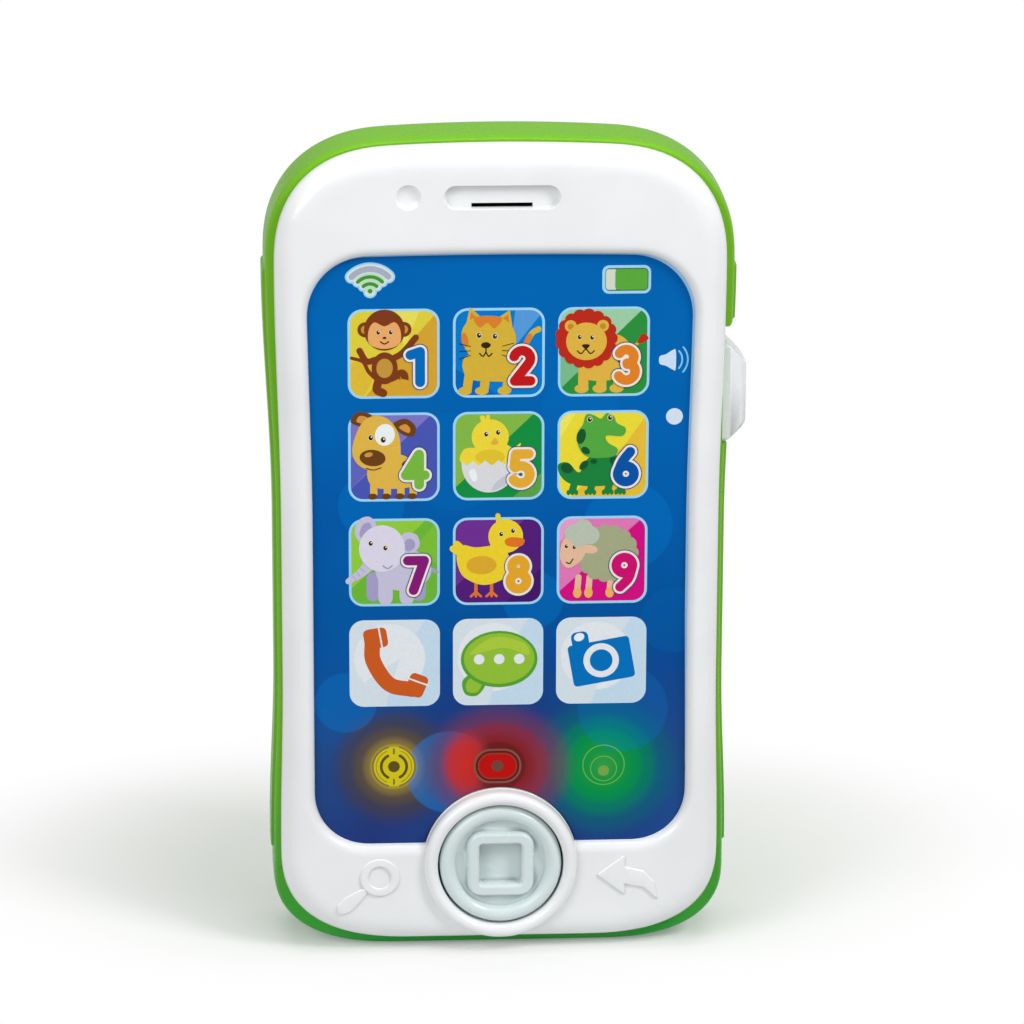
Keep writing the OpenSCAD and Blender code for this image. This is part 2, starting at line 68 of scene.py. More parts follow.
def node_span(node, axis):
    """Lowest and highest coordinate of a CAD node along axis 0, 1 or 2, in millimetres."""
    low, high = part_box(node)
    return low[axis] / MM, high[axis] / MM


# ---- sizes ----

# An outline's form: waist half-width, swell at the shoulder, swell at the hip, bottom, top, drop of the
# arched top, top corner's width and height, bottom corner's, roundness exponent.
SHELL = (40.15, 1.55, 0.95, 0, 150, 2.4, (22, 20), (22, 14.5), 2.4)
COVER = (39.08, 0.85, 0.57, 2, 148.9, 2, (21, 20), (24, 17), 2.5)
WINDOW = (33.5, 0.75, 0, 20.6, 129.6, 0.5, (11, 11), (10, 10), 2.1)
WAIST_TOP, SHOULDER_Z, WAIST_BOTTOM, HIP_Z = 80, 126, 52, 20

# Heights in front of the middle plane: the parting line between the shells and the cover's face. The
# film's front is at FILM_Y.
FILM_Y = node_span("screen_film", 1)[0]
PARTING = 7.6
FACE = 12.4
HOME = ((node_span("home_button", 0)[0] + node_span("home_button", 0)[1]) / 2,
        (node_span("home_button", 2)[0] + node_span("home_button", 2)[1]) / 2)
BUTTON_R = 11.15
LIGHTS = {"yellow": (-19.2, 35.2), "red": (-0.5, 35.0), "green": (18.7, 34.8)}


# ---- outlines ----

def ease(t):
    return (1 - math.cos(math.pi * min(1.0, max(0.0, t)))) / 2


def side_width(form, z):
    return (form[0]
            + form[1] * ease((z - WAIST_TOP) / (SHOULDER_Z - WAIST_TOP))
            + form[2] * ease((WAIST_BOTTOM - z) / (WAIST_BOTTOM - HIP_Z)))


def half_outline(form, inset=0.0, bottom_inset=None, corner=28, side=40, levels=()):
    """Right half of an outline, from the bottom corner to top centre."""
    bottom_inset = inset if bottom_inset is None else bottom_inset
    low, high = form[3] + bottom_inset, form[4] - inset
    top_w, top_h = form[6][0] - inset, form[6][1] - inset
    base_w, base_h = form[7][0] - inset, form[7][1] - bottom_inset
    power = 2 / form[8]
    points = []
    for i in range(corner + 1):
        a = math.pi / 2 * i / corner
        z = low + base_h - base_h * math.cos(a) ** power
        points.append((side_width(form, z) - inset - base_w + base_w * math.sin(a) ** power, z))
    z0, z1 = low + base_h, high - top_h
    z1 -= form[5] * ((side_width(form, z1) - inset) / form[0]) ** 2
    heights = sorted([z0 + (z1 - z0) * k / (side + 1) for k in range(1, side + 1)] + list(levels))
    points += [(side_width(form, z) - inset, z) for z in heights]
    for i in range(corner + 1):
        a = math.pi / 2 * i / corner
        z = high - top_h + top_h * math.sin(a) ** power
        x = side_width(form, z) - inset - top_w + top_w * max(0.0, math.cos(a)) ** power
        points.append((x, z - form[5] * (x / form[0]) ** 2))
    last = points[-1][0]
    for k in range(1, 9):
        x = last * (1 - k / 8)
        points.append((x, high - form[5] * (x / form[0]) ** 2))
    return points


def outline(form, inset=0.0, bottom_inset=None, **detail):
    """Whole outline, anticlockwise as the viewer in front sees it."""
    right = half_outline(form, inset, bottom_inset, **detail)
    return right + [(-x, z) for x, z in reversed(right[:-1])]


def oval(centre, rx, rz, n=128, tilt=0.0):
    """Ellipse, anticlockwise, turned by tilt degrees."""
    c, s = math.cos(math.radians(tilt)), math.sin(math.radians(tilt))
    points = [(rx * math.cos(2 * math.pi * i / n), rz * math.sin(2 * math.pi * i / n)) for i in range(n)]
    return [(centre[0] + x * c - z * s, centre[1] + x * s + z * c) for x, z in points]


def circle(centre, r, n=128):
    return oval(centre, r, r, n)


def soft_box(centre, w, h, r, n=10):
    """Rounded rectangle, anticlockwise."""
    points = []
    for k, (sx, sz) in enumerate(((1, -1), (1, 1), (-1, 1), (-1, -1))):
        for i in range(n + 1):
            a = math.radians(-90 + 90 * k + 90 * i / n)
            points.append((centre[0] + sx * (w / 2 - r) + r * math.cos(a),
                           centre[1] + sz * (h / 2 - r) + r * math.sin(a)))
    return points


def push(points, distance):
    """A closed outline moved outward along its own normals."""
    p = np.array(points, float)
    along = np.roll(p, -1, 0) - np.roll(p, 1, 0)
    along /= np.maximum(np.linalg.norm(along, axis=1), 1e-9)[:, None]
    return [tuple(q) for q in p + distance * np.stack([along[:, 1], -along[:, 0]], 1)]


def nested(points, steps):
    """The outline moved inward by each step in turn."""
    return [push(points, -step) for step in steps]


def finer(points, step=0.35):
    """The same outline with points no farther apart than step."""
    out = []
    for i, a in enumerate(points):
        b = points[(i + 1) % len(points)]
        n = max(1, math.ceil(math.dist(a, b) / step))
        out += [(a[0] + (b[0] - a[0]) * k / n, a[1] + (b[1] - a[1]) * k / n) for k in range(n)]
    return out


class Field:
    """Signed distance to a closed outline, positive outside."""

    def __init__(self, points):
        self.a = np.array(points, float)
        self.b = np.roll(self.a, -1, 0)

    def __call__(self, p):
        out = np.empty(len(p))
        for start in range(0, len(p), 4000):
            q = p[start:start + 4000, None, :]
            ab = (self.b - self.a)[None]
            t = np.clip(((q - self.a) * ab).sum(2) / np.maximum((ab ** 2).sum(2), 1e-12), 0, 1)
            near = np.sqrt((((q - self.a) - t[..., None] * ab) ** 2).sum(2).min(1))
            ay, by, qy = self.a[None, :, 1], self.b[None, :, 1], q[..., 1]
            crosses = (ay > qy) != (by > qy)
            with np.errstate(divide="ignore", invalid="ignore"):
                x = self.a[None, :, 0] + (qy - ay) * (self.b - self.a)[None, :, 0] / (by - ay)
            inside = (crosses & (q[..., 0] < x)).sum(1) % 2 == 1
            out[start:start + 4000] = np.where(inside, -near, near)
        return out


def capsule(p, a, b, r):
    """Signed distance to a straight bar with round ends."""
    a, b = np.array(a, float), np.array(b, float)
    t = np.clip(((p - a) @ (b - a)) / ((b - a) @ (b - a)), 0, 1)
    return np.linalg.norm(p - a - t[:, None] * (b - a), axis=1) - r


def from_centre(p, centre):
    return np.hypot(p[:, 0] - centre[0], p[:, 1] - centre[1])


def level(height):
    """A plate's face or back at one height everywhere."""
    return lambda p: np.full(len(p), height)


def bulge(t, m, n):
    """A quarter of a superellipse: 0 at t 0, rising to 1 at t 1."""
    return (1 - (1 - np.clip(t, 0, 1)) ** m) ** (1 / n)


def smooth_step(t):
    t = np.clip(t, 0, 1)
    return t * t * (3 - 2 * t)


def soft_min(a, b, k):
    h = np.clip(0.5 + 0.5 * (b - a) / k, 0, 1)
    return b + (a - b) * h - k * h * (1 - h)


def soft_max(a, b, k):
    return -soft_min(-a, -b, k)


# ---- mesh builders ----

def to_front(u, v, h):
    return np.stack([u, -h, v], 1)


def to_back(u, v, h):
    return np.stack([-u, h, v], 1)


def to_right(u, v, h):
    return np.stack([h, u, v], 1)


def new_object(name, vertices, faces, material=None):
    mesh = bpy.data.meshes.new(name)
    mesh.from_pydata([tuple(c * MM for c in v) for v in vertices], [], faces)
    mesh.update()
    piece = bpy.data.objects.new(name, mesh)
    bpy.context.scene.collection.objects.link(piece)
    if material:
        mesh.materials.append(material)
    return piece


SLOPE_STEP = 0.02


def relief(name, loops, keep, front, back, place, material, fill=1.6):
    """A closed plate whose face is the height front(p) over the plane, with creases along loops.

    keep(p) tells which points are solid, back(p) is the height of the rear, place maps to the frame."""
    points, edges = [], []
    for loop in loops:
        start, n = len(points), len(loop)
        points += [Vector(p) for p in loop]
        edges += [(start + i, start + (i + 1) % n) for i in range(n)]
    corners = np.array([tuple(p) for p in points])
    low, high = corners.min(0), corners.max(0)
    us = np.arange(low[0] + fill / 3, high[0], fill)
    vs = np.arange(low[1] + fill / 3, high[1], fill)
    points += [Vector((u + 0.3 * fill * (j % 2), v)) for j, v in enumerate(vs) for u in us]
    flat, _, triangles, *_ = delaunay_2d_cdt(points, edges, [], 0, 1e-4)
    p = np.array([tuple(q) for q in flat])
    triangles = np.array([t for t in triangles if len(t) == 3])
    triangles = triangles[keep(p[triangles].mean(1))]
    used, triangles = np.unique(triangles, return_inverse=True)
    triangles = triangles.reshape(-1, 3)
    p = p[used]
    h, rear = front(p), back(p)
    slopes = []
    for direction in ((1, 0), (0, 1)):
        step = np.array(direction) * SLOPE_STEP
        slopes.append((front(p + step) - front(p - step)) / (2 * SLOPE_STEP))
    normal = np.stack([-slopes[0], -slopes[1], np.ones(len(p))], 1)
    normal /= np.linalg.norm(normal, axis=1)[:, None]
    normal = place(normal[:, 0], normal[:, 1], normal[:, 2])
    n = len(p)
    meets = np.abs(h - rear) < 1e-3
    behind = np.where(meets, np.arange(n), np.arange(n) + n)
    vertices = np.concatenate([place(p[:, 0], p[:, 1], h), place(p[:, 0], p[:, 1], rear)])
    faces = [tuple(t) for t in triangles]
    faces += [tuple(behind[t][::-1]) for t in triangles]
    sides = {}
    for a, b, c in triangles:
        for side in ((a, b), (b, c), (c, a)):
            sides[side] = True
    for a, b in sides:
        if (b, a) not in sides:
            wall = [b, a, behind[a], behind[b]]
            wall = [v for i, v in enumerate(wall) if v not in wall[:i]]
            if len(wall) > 2:
                faces.append(tuple(wall))
    mesh = bpy.data.meshes.new(name)
    mesh.from_pydata((vertices * MM).tolist(), [], [tuple(int(i) for i in f) for f in faces])
    mesh.materials.append(material)
    mesh.shade_smooth()
    normals = []
    for poly in mesh.polygons:
        flat_face = poly.index >= len(triangles)
        for v in poly.vertices:
            normals.append(tuple(poly.normal) if flat_face else tuple(normal[v]))
    mesh.normals_split_custom_set(normals)
    shaped = bpy.data.objects.new(name, mesh)
    bpy.context.scene.collection.objects.link(shaped)
    if meets.any():
        drop_loose(mesh)
    return shaped


def drop_loose(mesh):
    work = bmesh.new()
    work.from_mesh(mesh)
    bmesh.ops.delete(work, geom=[v for v in work.verts if not v.link_faces], context="VERTS")
    work.to_mesh(mesh)
    work.free()


def loft(name, rings, material=None):
    """Closed skin through rings of 3-D points, capped at both ends."""
    n = len(rings[0])
    vertices = [v for ring in rings for v in ring]
    faces = [tuple(range(n))]
    for k in range(len(rings) - 1):
        here, ahead = k * n, (k + 1) * n
        faces += [(here + j, ahead + j, ahead + (j + 1) % n, here + (j + 1) % n) for j in range(n)]
    faces.append(tuple(range(len(rings) * n - 1, (len(rings) - 1) * n - 1, -1)))
    return new_object(name, vertices, faces, material)


def prism(loop, y0, y1, flare=0.0):
    """Cutter through the plate along Y, its mouth at y1 widened by flare."""
    rows = [(y0, 0.0), (y1, 0.0)]
    if flare:
        rows = [(y0, 0.0), (y1 - flare, 0.0), (y1, flare), (y1 + 1, flare)]
    return loft("cutter", [[(x, y, z) for x, z in push(loop, out)] for y, out in rows])


def joined(pieces):
    """The first piece with the others' meshes added; the others are used up."""
    base = pieces[0]
    work = bmesh.new()
    for piece in pieces:
        work.from_mesh(piece.data)
    work.to_mesh(base.data)
    work.free()
    for piece in pieces[1:]:
        bpy.data.objects.remove(piece)
    return base


def combine(piece, tool, operation):
    """Boolean of piece with tool, applied; tool is used up."""
    modifier = piece.modifiers.new("cut", "BOOLEAN")
    modifier.operation = operation
    modifier.solver = "MANIFOLD"
    modifier.object = tool
    bpy.context.view_layer.update()
    result = bpy.data.meshes.new_from_object(piece.evaluated_get(bpy.context.evaluated_depsgraph_get()))
    piece.modifiers.clear()
    piece.data = result
    bpy.data.objects.remove(tool)


def settle_shading(piece, angle=32):
    """Smooth faces with crisp edges above angle, large faces leading the normals."""
    piece.data.shade_smooth()
    piece.data.set_sharp_from_angle(angle=math.radians(angle))
    modifier = piece.modifiers.new("normals", "WEIGHTED_NORMAL")
    modifier.keep_sharp = True
    modifier.weight = 80


def between(a, b, c, d, t):
    """The Catmull-Rom point a share t of the way from b to c."""
    return 0.5 * (2 * b + (c - a) * t + (2 * a - 5 * b + 4 * c - d) * t ** 2
                  + (3 * b - a - 3 * c + d) * t ** 3)


def curve_through(rows, steps=5):
    """Catmull-Rom through rows of numbers."""
    rows = [np.array(r, float) for r in rows]
    rows = [2 * rows[0] - rows[1]] + rows + [2 * rows[-1] - rows[-2]]
    out = []
    for a, b, c, d in zip(rows, rows[1:], rows[2:], rows[3:]):
        out += [between(a, b, c, d, k / steps) for k in range(steps)]
    return out + [rows[-2]]


# ---- materials ----

def linear(rgb):
    """An 8-bit sRGB colour as linear light, with alpha."""
    return tuple(((c / 255 + 0.055) / 1.055) ** 2.4 if c > 10 else c / 255 / 12.92 for c in rgb) + (1.0,)


class Look:
    """A Principled material and short ways to add nodes to it."""

    def __init__(self, name, **sockets):
        self.material = bpy.data.materials.new(name)
        self.material.use_nodes = True
        self.tree = self.material.node_tree
        self.shader = self.tree.nodes["Principled BSDF"]
        for socket, value in sockets.items():
            self.shader.inputs[socket.replace("_", " ")].default_value = value
        self.place = self.node("ShaderNodeTexCoord").outputs["Object"]

    def node(self, kind, inputs=None, **settings):
        made = self.tree.nodes.new(kind)
        for key, value in settings.items():
            setattr(made, key, value)
        for key, value in (inputs or {}).items():
            if isinstance(value, bpy.types.NodeSocket):
                self.tree.links.new(value, made.inputs[key])
            else:
                made.inputs[key].default_value = value
        return made

    def noise(self, per_metre, detail=2.0):
        return self.node("ShaderNodeTexNoise",
                         {"Vector": self.place, "Scale": per_metre, "Detail": detail}).outputs["Fac"]

    def spread(self, value, low, high, from_low=0.3, from_high=0.7):
        made = self.node("ShaderNodeMapRange", {"Value": value, "From Min": from_low, "From Max": from_high,
                                                "To Min": low, "To Max": high})
        return made.outputs["Result"]

    def mix(self, factor, a, b):
        """Colour b over colour a; the sockets are numbered because their names repeat by data type."""
        made = self.node("ShaderNodeMix", data_type="RGBA")
        for index, value in ((0, factor), (6, a), (7, b)):
            if isinstance(value, bpy.types.NodeSocket):
                self.tree.links.new(value, made.inputs[index])
            else:
                made.inputs[index].default_value = value
        return made.outputs[2]

    def ramp(self, value, stops, interpolation="LINEAR"):
        """A colour ramp over value; each stop is its place from 0 to 1 and a linear colour with alpha."""
        made = self.node("ShaderNodeValToRGB", {"Fac": value})
        made.color_ramp.interpolation = interpolation
        elements = made.color_ramp.elements
        while len(elements) < len(stops):
            elements.new(0.5)
        for element, (place, _) in zip(elements, stops):
            element.position = place
        for element, (_, colour) in zip(elements, stops):
            element.color = colour
        return made.outputs

    def feed(self, socket, value):
        self.tree.links.new(value, self.shader.inputs[socket])

    def bump(self, height, strength, distance):
        made = self.node("ShaderNodeBump", {"Height": height, "Strength": strength, "Distance": distance})
        self.feed("Normal", made.outputs["Normal"])

    def math(self, operation, a, b=0.0):
        return self.node("ShaderNodeMath", {0: a, 1: b}, operation=operation).outputs[0]


def shade(rgb, by):
    return tuple(max(0, min(255, c * by)) for c in rgb)


def plastic(name, rgb, roughness=0.22, tint=0.03, speckle=0.02, specular=0.5):
    """Moulded plastic: faint flow marks in the colour, fine orange peel and uneven gloss."""
    look = Look(name, Specular_IOR_Level=specular)
    flow = look.spread(look.noise(70, 3), 0, 1)
    look.feed("Base Color", look.mix(flow, linear(shade(rgb, 1 - tint)), linear(shade(rgb, 1 + tint))))
    look.feed("Roughness", look.spread(look.noise(400, 4), roughness * 0.85, roughness * 1.2))
    look.bump(look.noise(1400, 2), speckle, 0.0002)
    return look.material


def shell_plastic(name):
    """Glossy green with painted shade: darker toward the foot, where the floor shadow falls."""
    look = Look(name, Specular_IOR_Level=0.1)
    height = look.node("ShaderNodeSeparateXYZ", {0: look.place}).outputs["Z"]
    flow = look.spread(look.noise(70, 3), -0.06, 0.06)
    # Painted shade: the lowest 40 mm fade to the darker green; the flow noise adds faint moulding marks.
    painted_foot_shade = look.math("ADD", look.spread(height, 0, 1, -0.002, 0.04), flow)
    painted_foot_shade = look.node("ShaderNodeClamp", {0: painted_foot_shade})
    look.feed("Base Color", look.mix(painted_foot_shade.outputs[0], linear((38, 160, 62)), linear((114, 180, 36))))
    look.feed("Roughness", look.spread(look.noise(400, 4), 0.24, 0.32))
    look.bump(look.noise(1400, 2), 0.002, 0.0002)
    return look.material


def metal(name, rgb, roughness=0.35):
    look = Look(name, Metallic=1.0)
    grain = look.node("ShaderNodeMapping", {"Vector": look.place, "Scale": (1, 1, 14)}).outputs["Vector"]
    fine = look.node("ShaderNodeTexNoise", {"Vector": grain, "Scale": 900, "Detail": 3}).outputs["Fac"]
    look.feed("Base Color", look.mix(look.spread(fine, 0, 1), linear(shade(rgb, 0.9)),
                                     linear(shade(rgb, 1.06))))
    look.feed("Roughness", look.spread(fine, roughness * 0.8, roughness * 1.25))
    look.bump(fine, 0.05, 0.0001)
    return look.material


def board(name):
    """Green solder mask over faint copper tracks."""
    look = Look(name, Specular_IOR_Level=0.5)
    tracks = look.node("ShaderNodeTexBrick", {"Vector": look.place, "Scale": 160, "Mortar Size": 0.03,
                                              "Color1": (0, 0, 0, 1), "Color2": (0, 0, 0, 1),
                                              "Mortar": (1, 1, 1, 1)}).outputs["Color"]
    base = look.mix(look.spread(look.noise(300, 3), 0, 1), linear((14, 84, 40)), linear((22, 104, 52)))
    look.feed("Base Color", look.mix(tracks, base, linear((60, 140, 80))))
    look.feed("Roughness", look.spread(look.noise(900, 2), 0.3, 0.45))
    return look.material


def cell_sleeve(name):
    """Dark sleeve with a warm band round one end."""
    look = Look(name, Metallic=0.3)
    height = look.node("ShaderNodeSeparateXYZ", {0: look.place}).outputs["Z"]
    band = look.spread(height, 0, 1, 0.0985, 0.0988)
    look.feed("Base Color", look.mix(band, linear((34, 42, 56)), linear((186, 128, 62))))
    look.feed("Roughness", look.spread(look.noise(500, 3), 0.25, 0.4))
    return look.material


# Bubbles printed on the screen: centre, radius and how much they cover.
BUBBLES = [((-23.1, 84.0), 5.9, 0.32), ((22.7, 79.7), 8.0, 0.32), ((5.8, 66.2), 5.4, 0.32),
           ((-27.8, 47.4), 5.6, 0.32), ((-9.3, 34.0), 7.7, 0.5), ((22.1, 45.5), 8.1, 0.2),
           ((-8, 92), 9, 0.12),
           ((14, 101), 7, 0.12), ((31, 62), 6, 0.12)]
# The screen's colour from its lower edge up.
SKY = [(20, (36, 52, 120)), (28, (40, 56, 116)), (38, (40, 58, 112)), (46, (26, 62, 132)),
       (56, (8, 72, 146)),
       (66, (3, 78, 150)), (80, (3, 83, 160)), (95, (2, 92, 170)), (110, (1, 98, 174)), (130, (1, 98, 176))]


def screen_print(name):
    """The printed film: a sky that darkens downward, pale bubbles and a glow round each light."""
    look = Look(name, Specular_IOR_Level=0.03)
    apart = look.node("ShaderNodeSeparateXYZ", {0: look.place})
    x, z = apart.outputs["X"], apart.outputs["Z"]

    def from_point(centre, stretch=1.0):
        dx = look.math("DIVIDE", look.math("SUBTRACT", x, centre[0] * MM), MM * stretch)
        dz = look.math("DIVIDE", look.math("SUBTRACT", z, centre[1] * MM), MM)
        squares = look.math("ADD", look.math("MULTIPLY", dx, dx), look.math("MULTIPLY", dz, dz))
        return look.math("SQRT", squares)

    low, high = SKY[0][0], SKY[-1][0]
    stops = [((height - low) / (high - low), linear(rgb)) for height, rgb in SKY]
    sky = look.ramp(look.spread(z, 0, 1, low * MM, high * MM), stops)
    drift = look.spread(look.noise(28, 2), 0, 0.35, 0.35, 0.7)
    colour = look.mix(drift, sky["Color"], linear((0, 110, 190)))

    def glow(under, centre, stretch, reach, steps):
        stops = [(away / reach, linear(rgb)[:3] + (cover,)) for away, rgb, cover in steps]
        light = look.ramp(look.spread(from_point(centre, stretch), 0, 1, 0, reach), stops, "EASE")
        share = look.math("MULTIPLY", light["Alpha"], look.spread(look.noise(4000, 1), 0.9, 1.0))
        return look.mix(share, under, light["Color"])

    for spot in GLOWS_UNDER:
        colour = glow(colour, *spot)
    for centre, r, cover in BUBBLES:
        rim = look.spread(from_point(centre), 1, 0, r - 0.15, r + 0.15)
        colour = look.mix(look.math("MULTIPLY", rim, cover), colour, linear((0, 122, 205)))
    for spot in GLOWS_OVER:
        colour = glow(colour, *spot)
    look.feed("Base Color", colour)
    look.feed("Roughness", look.spread(look.noise(250, 3), 0.16, 0.26))
    look.bump(look.noise(900, 2), 0.015, 0.0002)
    return look.material


# Glow round each light, below or above the bubbles: centre, stretch along X, reach, and steps of distance,
# colour and cover.
GLOWS_UNDER = [
    (LIGHTS["yellow"], 1.0, 13, [(0, (196, 172, 40), 1), (3.9, (176, 156, 40), 1),
                                 (4.6, (134, 116, 52), 0.95),
                                 (6.2, (92, 78, 50), 0.9), (8.4, (70, 64, 66), 0.75),
                                 (12.6, (48, 58, 104), 0)]),
    (LIGHTS["green"], 1.0, 16, [(0, (50, 160, 66), 1), (4, (14, 152, 62), 1), (6, (4, 144, 74), 1),
                                (8, (2, 126, 96), 0.92), (11, (2, 100, 118), 0.6),
                                (15.4, (20, 70, 130), 0)]),
]
GLOWS_OVER = [
    (LIGHTS["red"], 1.12, 14, [(0, (150, 30, 20), 1), (4.2, (112, 28, 22), 1), (5.0, (140, 34, 28), 0.97),
                               (7.2, (146, 42, 48), 0.85), (9.5, (110, 56, 88), 0.65),
                               (13.4, (70, 60, 110), 0)]),
    ((-6.3, 35.6), 0.7, 8, [(0, (214, 46, 36), 0.9), (3.4, (206, 48, 40), 0.8), (7.6, (160, 60, 74), 0)]),
]

INKS = {}


def ink(name, rgb):
    """Printed ink under the film's gloss: a faint mottle in its colour."""
    if name not in INKS:
        look = Look("ink_" + name, Specular_IOR_Level=0.05)
        mottle = look.spread(look.noise(2600, 2), 0, 1)
        look.feed("Base Color", look.mix(mottle, linear(shade(rgb, 0.965)), linear(shade(rgb, 0.99))))
        look.feed("Roughness", look.spread(look.noise(250, 3), 0.2, 0.3))
        INKS[name] = look.material
    return INKS[name]


# ---- shells ----

def cover_height(p, fields):
    """How far the white cover stands out in front of the middle plane."""
    inset = -fields["cover"](p)
    out = fields["window"](p)
    rim = PARTING + (FACE - PARTING) * bulge(inset / 5.2, 2.4, 2.6)
    lip = -FILM_Y + 0.25 + (FACE + FILM_Y - 0.2) * bulge(out / 2.1, 2, 1.7)
    lip = np.where(out < 0.03, -FILM_Y + 0.01, lip)
    face = soft_min(rim, lip, 0.25)
    pill = fields["pill"](p)
    face = face - 1.4 * smooth_step((0.12 - pill) / 0.36)
    dimple = from_centre(p, DIMPLE)
    face = face - 1.0 * bulge((2.25 - dimple) / 2.25, 2, 2.0) * smooth_step((2.3 - dimple) / 0.25)
    face = face + 0.42 * smooth_step((0.14 - sign_field(p, fields)) / 0.3)
    r = from_centre(p, HOME)
    swell = 1 - ((r - RING_MID) / RING_HALF) ** 2
    beyond = np.clip(np.abs(r - RING_MID) - RING_HALF, 0, 0.1)
    ring = 12.55 + 1.35 * np.sqrt(np.clip(swell, 0, 1)) - 30 * beyond
    return np.where(r < RING_MID + RING_HALF + 0.12, soft_max(face, ring, 0.12), face)


def sign_field(p, fields):
    """Distance to the raised magnifier and arrow."""
    lens = np.abs(from_centre(p, MAGNIFIER) - LENS_R) - LENS_BAR / 2
    return np.minimum(np.minimum(lens, fields["handle"](p)), fields["arrow"](p))


# The cover's details: dimple, earpiece groove and slit, raised signs, and the ring round the button.
DIMPLE = (-16.4, 140)
PILL = (0, 139.9)
SLIT = (0, 138.35)
MAGNIFIER = (-21.9, 14.7)
LENS_R, LENS_BAR = 2.8, 1.4
HANDLE = [(-24.2, 11.9), (-25.1, 10.6), (-27.2, 8.3), (-28.7, 7.7), (-29.6, 8.2), (-29.6, 9.4),
          (-28.2, 10.9),
          (-25.9, 12.2), (-24.6, 12.7)]
ARROW = [(17.6, 14.6), (22.5, 18.2), (22.5, 16.0), (25.8, 15.2), (27.8, 13.2), (28.5, 9.8), (26.1, 12.0),
         (22.5, 12.8), (22.5, 10.8)]
RING_MID, RING_HALF = 12.62, 1.24
HOLE_R = RING_MID - RING_HALF


def front_cover():
    """The white cover: creases follow its edges, the ring, the earpiece, the dimple and the signs."""
    fine = {"corner": 60, "side": 70}
    pill, slit = soft_box(PILL, 20.3, 4.1, 2.04, 16), soft_box(SLIT, 10.7, 0.75, 0.05, 2)
    fields = {"cover": Field(outline(COVER, **fine)), "window": Field(outline(WINDOW, **fine)),
              "pill": Field(pill), "arrow": Field(ARROW), "handle": Field(HANDLE[::-1])}
    edge, window = outline(COVER), outline(WINDOW)
    loops = nested(edge, (0, 0.04, 0.12, 0.25, 0.45, 0.7, 1.0, 1.4, 1.9, 2.4, 2.9))
    loops += [push(window, d) for d in (0, 0.04, 0.1, 0.2, 0.35, 0.55, 0.8, 1.1, 1.5, 1.9)]
    ring_steps = [-1, -0.97, -0.9, -0.8, -0.62, -0.4, -0.15, 0.1, 0.35, 0.58, 0.78, 0.9, 0.97, 1]
    loops += [circle(HOME, RING_MID + s * RING_HALF, 160) for s in ring_steps]
    loops += [circle(HOME, RING_MID + RING_HALF + g, 160) for g in (0.04, 0.1)]
    loops += nested(pill, (-0.14, -0.06, 0.02, 0.1, 0.18, 0.28))
    loops += [circle(DIMPLE, r, 48) for r in (2.3, 2.2, 2.1, 1.95, 1.7, 1.3, 0.8)]
    loops.append(slit)
    for d in (-0.16, 0, 0.16):
        half_bar = LENS_BAR / 2 + d
        loops += [circle(MAGNIFIER, LENS_R + half_bar, 56), circle(MAGNIFIER, LENS_R - half_bar, 40)]
        loops += [push(finer(ARROW), d), push(finer(HANDLE[::-1]), d)]
    edge_field, window_field = fields["cover"], fields["window"]
    slit_field = Field(slit)

    def keep(p):
        r = from_centre(p, HOME)
        solid = (edge_field(p) < 0) & ((window_field(p) > 0) | (r < RING_MID + RING_HALF + 0.1))
        return solid & (r > HOLE_R) & (slit_field(p) > 0)

    def back(p):
        r = from_centre(p, HOME)
        inner = PARTING + (-FILM_Y - 0.02 - PARTING) * smooth_step((-edge_field(p) - 1.4) / 0.4)
        return np.where(r < RING_MID + RING_HALF + 0.2, np.minimum(inner, 8.6), inner)

    piece = relief("cover_moulding", loops, keep, lambda p: cover_height(p, fields), back, to_front,
                   plastic("cover_white", (238, 240, 241), 0.2, 0.012, 0.02))
    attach(piece, "casing")
    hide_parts("front_cover")


# The raised grip pads on both sides, and how far they stand out.
PAD_LOW, PAD_HIGH, PAD_RISE = 18.6, 126.0, 0.4


def shell_rings():
    """Rings of the green shell: inner skin back to front, round the rim, outer skin front to back."""
    levels = [PAD_LOW - 0.12, PAD_LOW + 0.12, PAD_HIGH - 0.15, PAD_HIGH + 0.15]
    outer = curve_through([(-7.5, 0.75, 0.9), (-6.9, 0.4, 0.35), (-5.4, 0.15, 0), (-1, 0, 0), (5, 0, 0),
                           (7.5, 0.7, 0), (10, 1.9, 0.9), (12, 3.5, 2.4), (13.3, 5.2, 4.8), (14, 8, 8)])
    pad_edges = [(-5.06, 0.12, 0), (-4.94, 0.12, 0), (5.94, 0.09, 0), (6.06, 0.1, 0)]
    outer = sorted([tuple(r) for r in outer] + pad_edges)
    inner = [(SHELL, -6.3, 2.3), (SHELL, 8, 2.3), (SHELL, 10, 4.2), (SHELL, 11.95, 6.8)]
    ledge = [(COVER, -7.5, 3.1), (COVER, -6.3, 3.1)]
    rings = []
    for form, y, inset in reversed(ledge + inner):
        rings.append([(x, y, z) for x, z in outline(form, inset, levels=levels)])
    for y, inset, low in outer:
        ring = outline(SHELL, inset, max(0.0, low), levels=levels)
        if -5 < y < 6:
            ring = [(x + math.copysign(PAD_RISE, x) if PAD_LOW < z < PAD_HIGH and abs(x) > 30 else x, z)
                    for x, z in ring]
        rings.append([(x, y, z) for x, z in ring])
    return rings


# Places on the back and side, as the CAD has them.
SPEAKER, HOLE_PITCH = (0, 32), 3.4
DOOR = {"centre": (0, 86), "w": 38.4, "h": 68, "r": 4}
SCREWS = [(-27.5, 138), (27.5, 138), (-28.5, 10.2), (28.5, 10.2)]
KNOB_Z, KNOB_HALF = 102.8, 8.9
DOOR_SCREWS = (56.5, 115.5)
# The bay's limits along X, Y and Z.
BAY = ((-17.2, 17.2), (1.25, 14), (61.8, 110.4))


def box_mesh(xs, ys, zs):
    """Box between pairs of limits."""
    return prism([(xs[0], zs[0]), (xs[1], zs[0]), (xs[1], zs[1]), (xs[0], zs[1])], ys[0], ys[1])


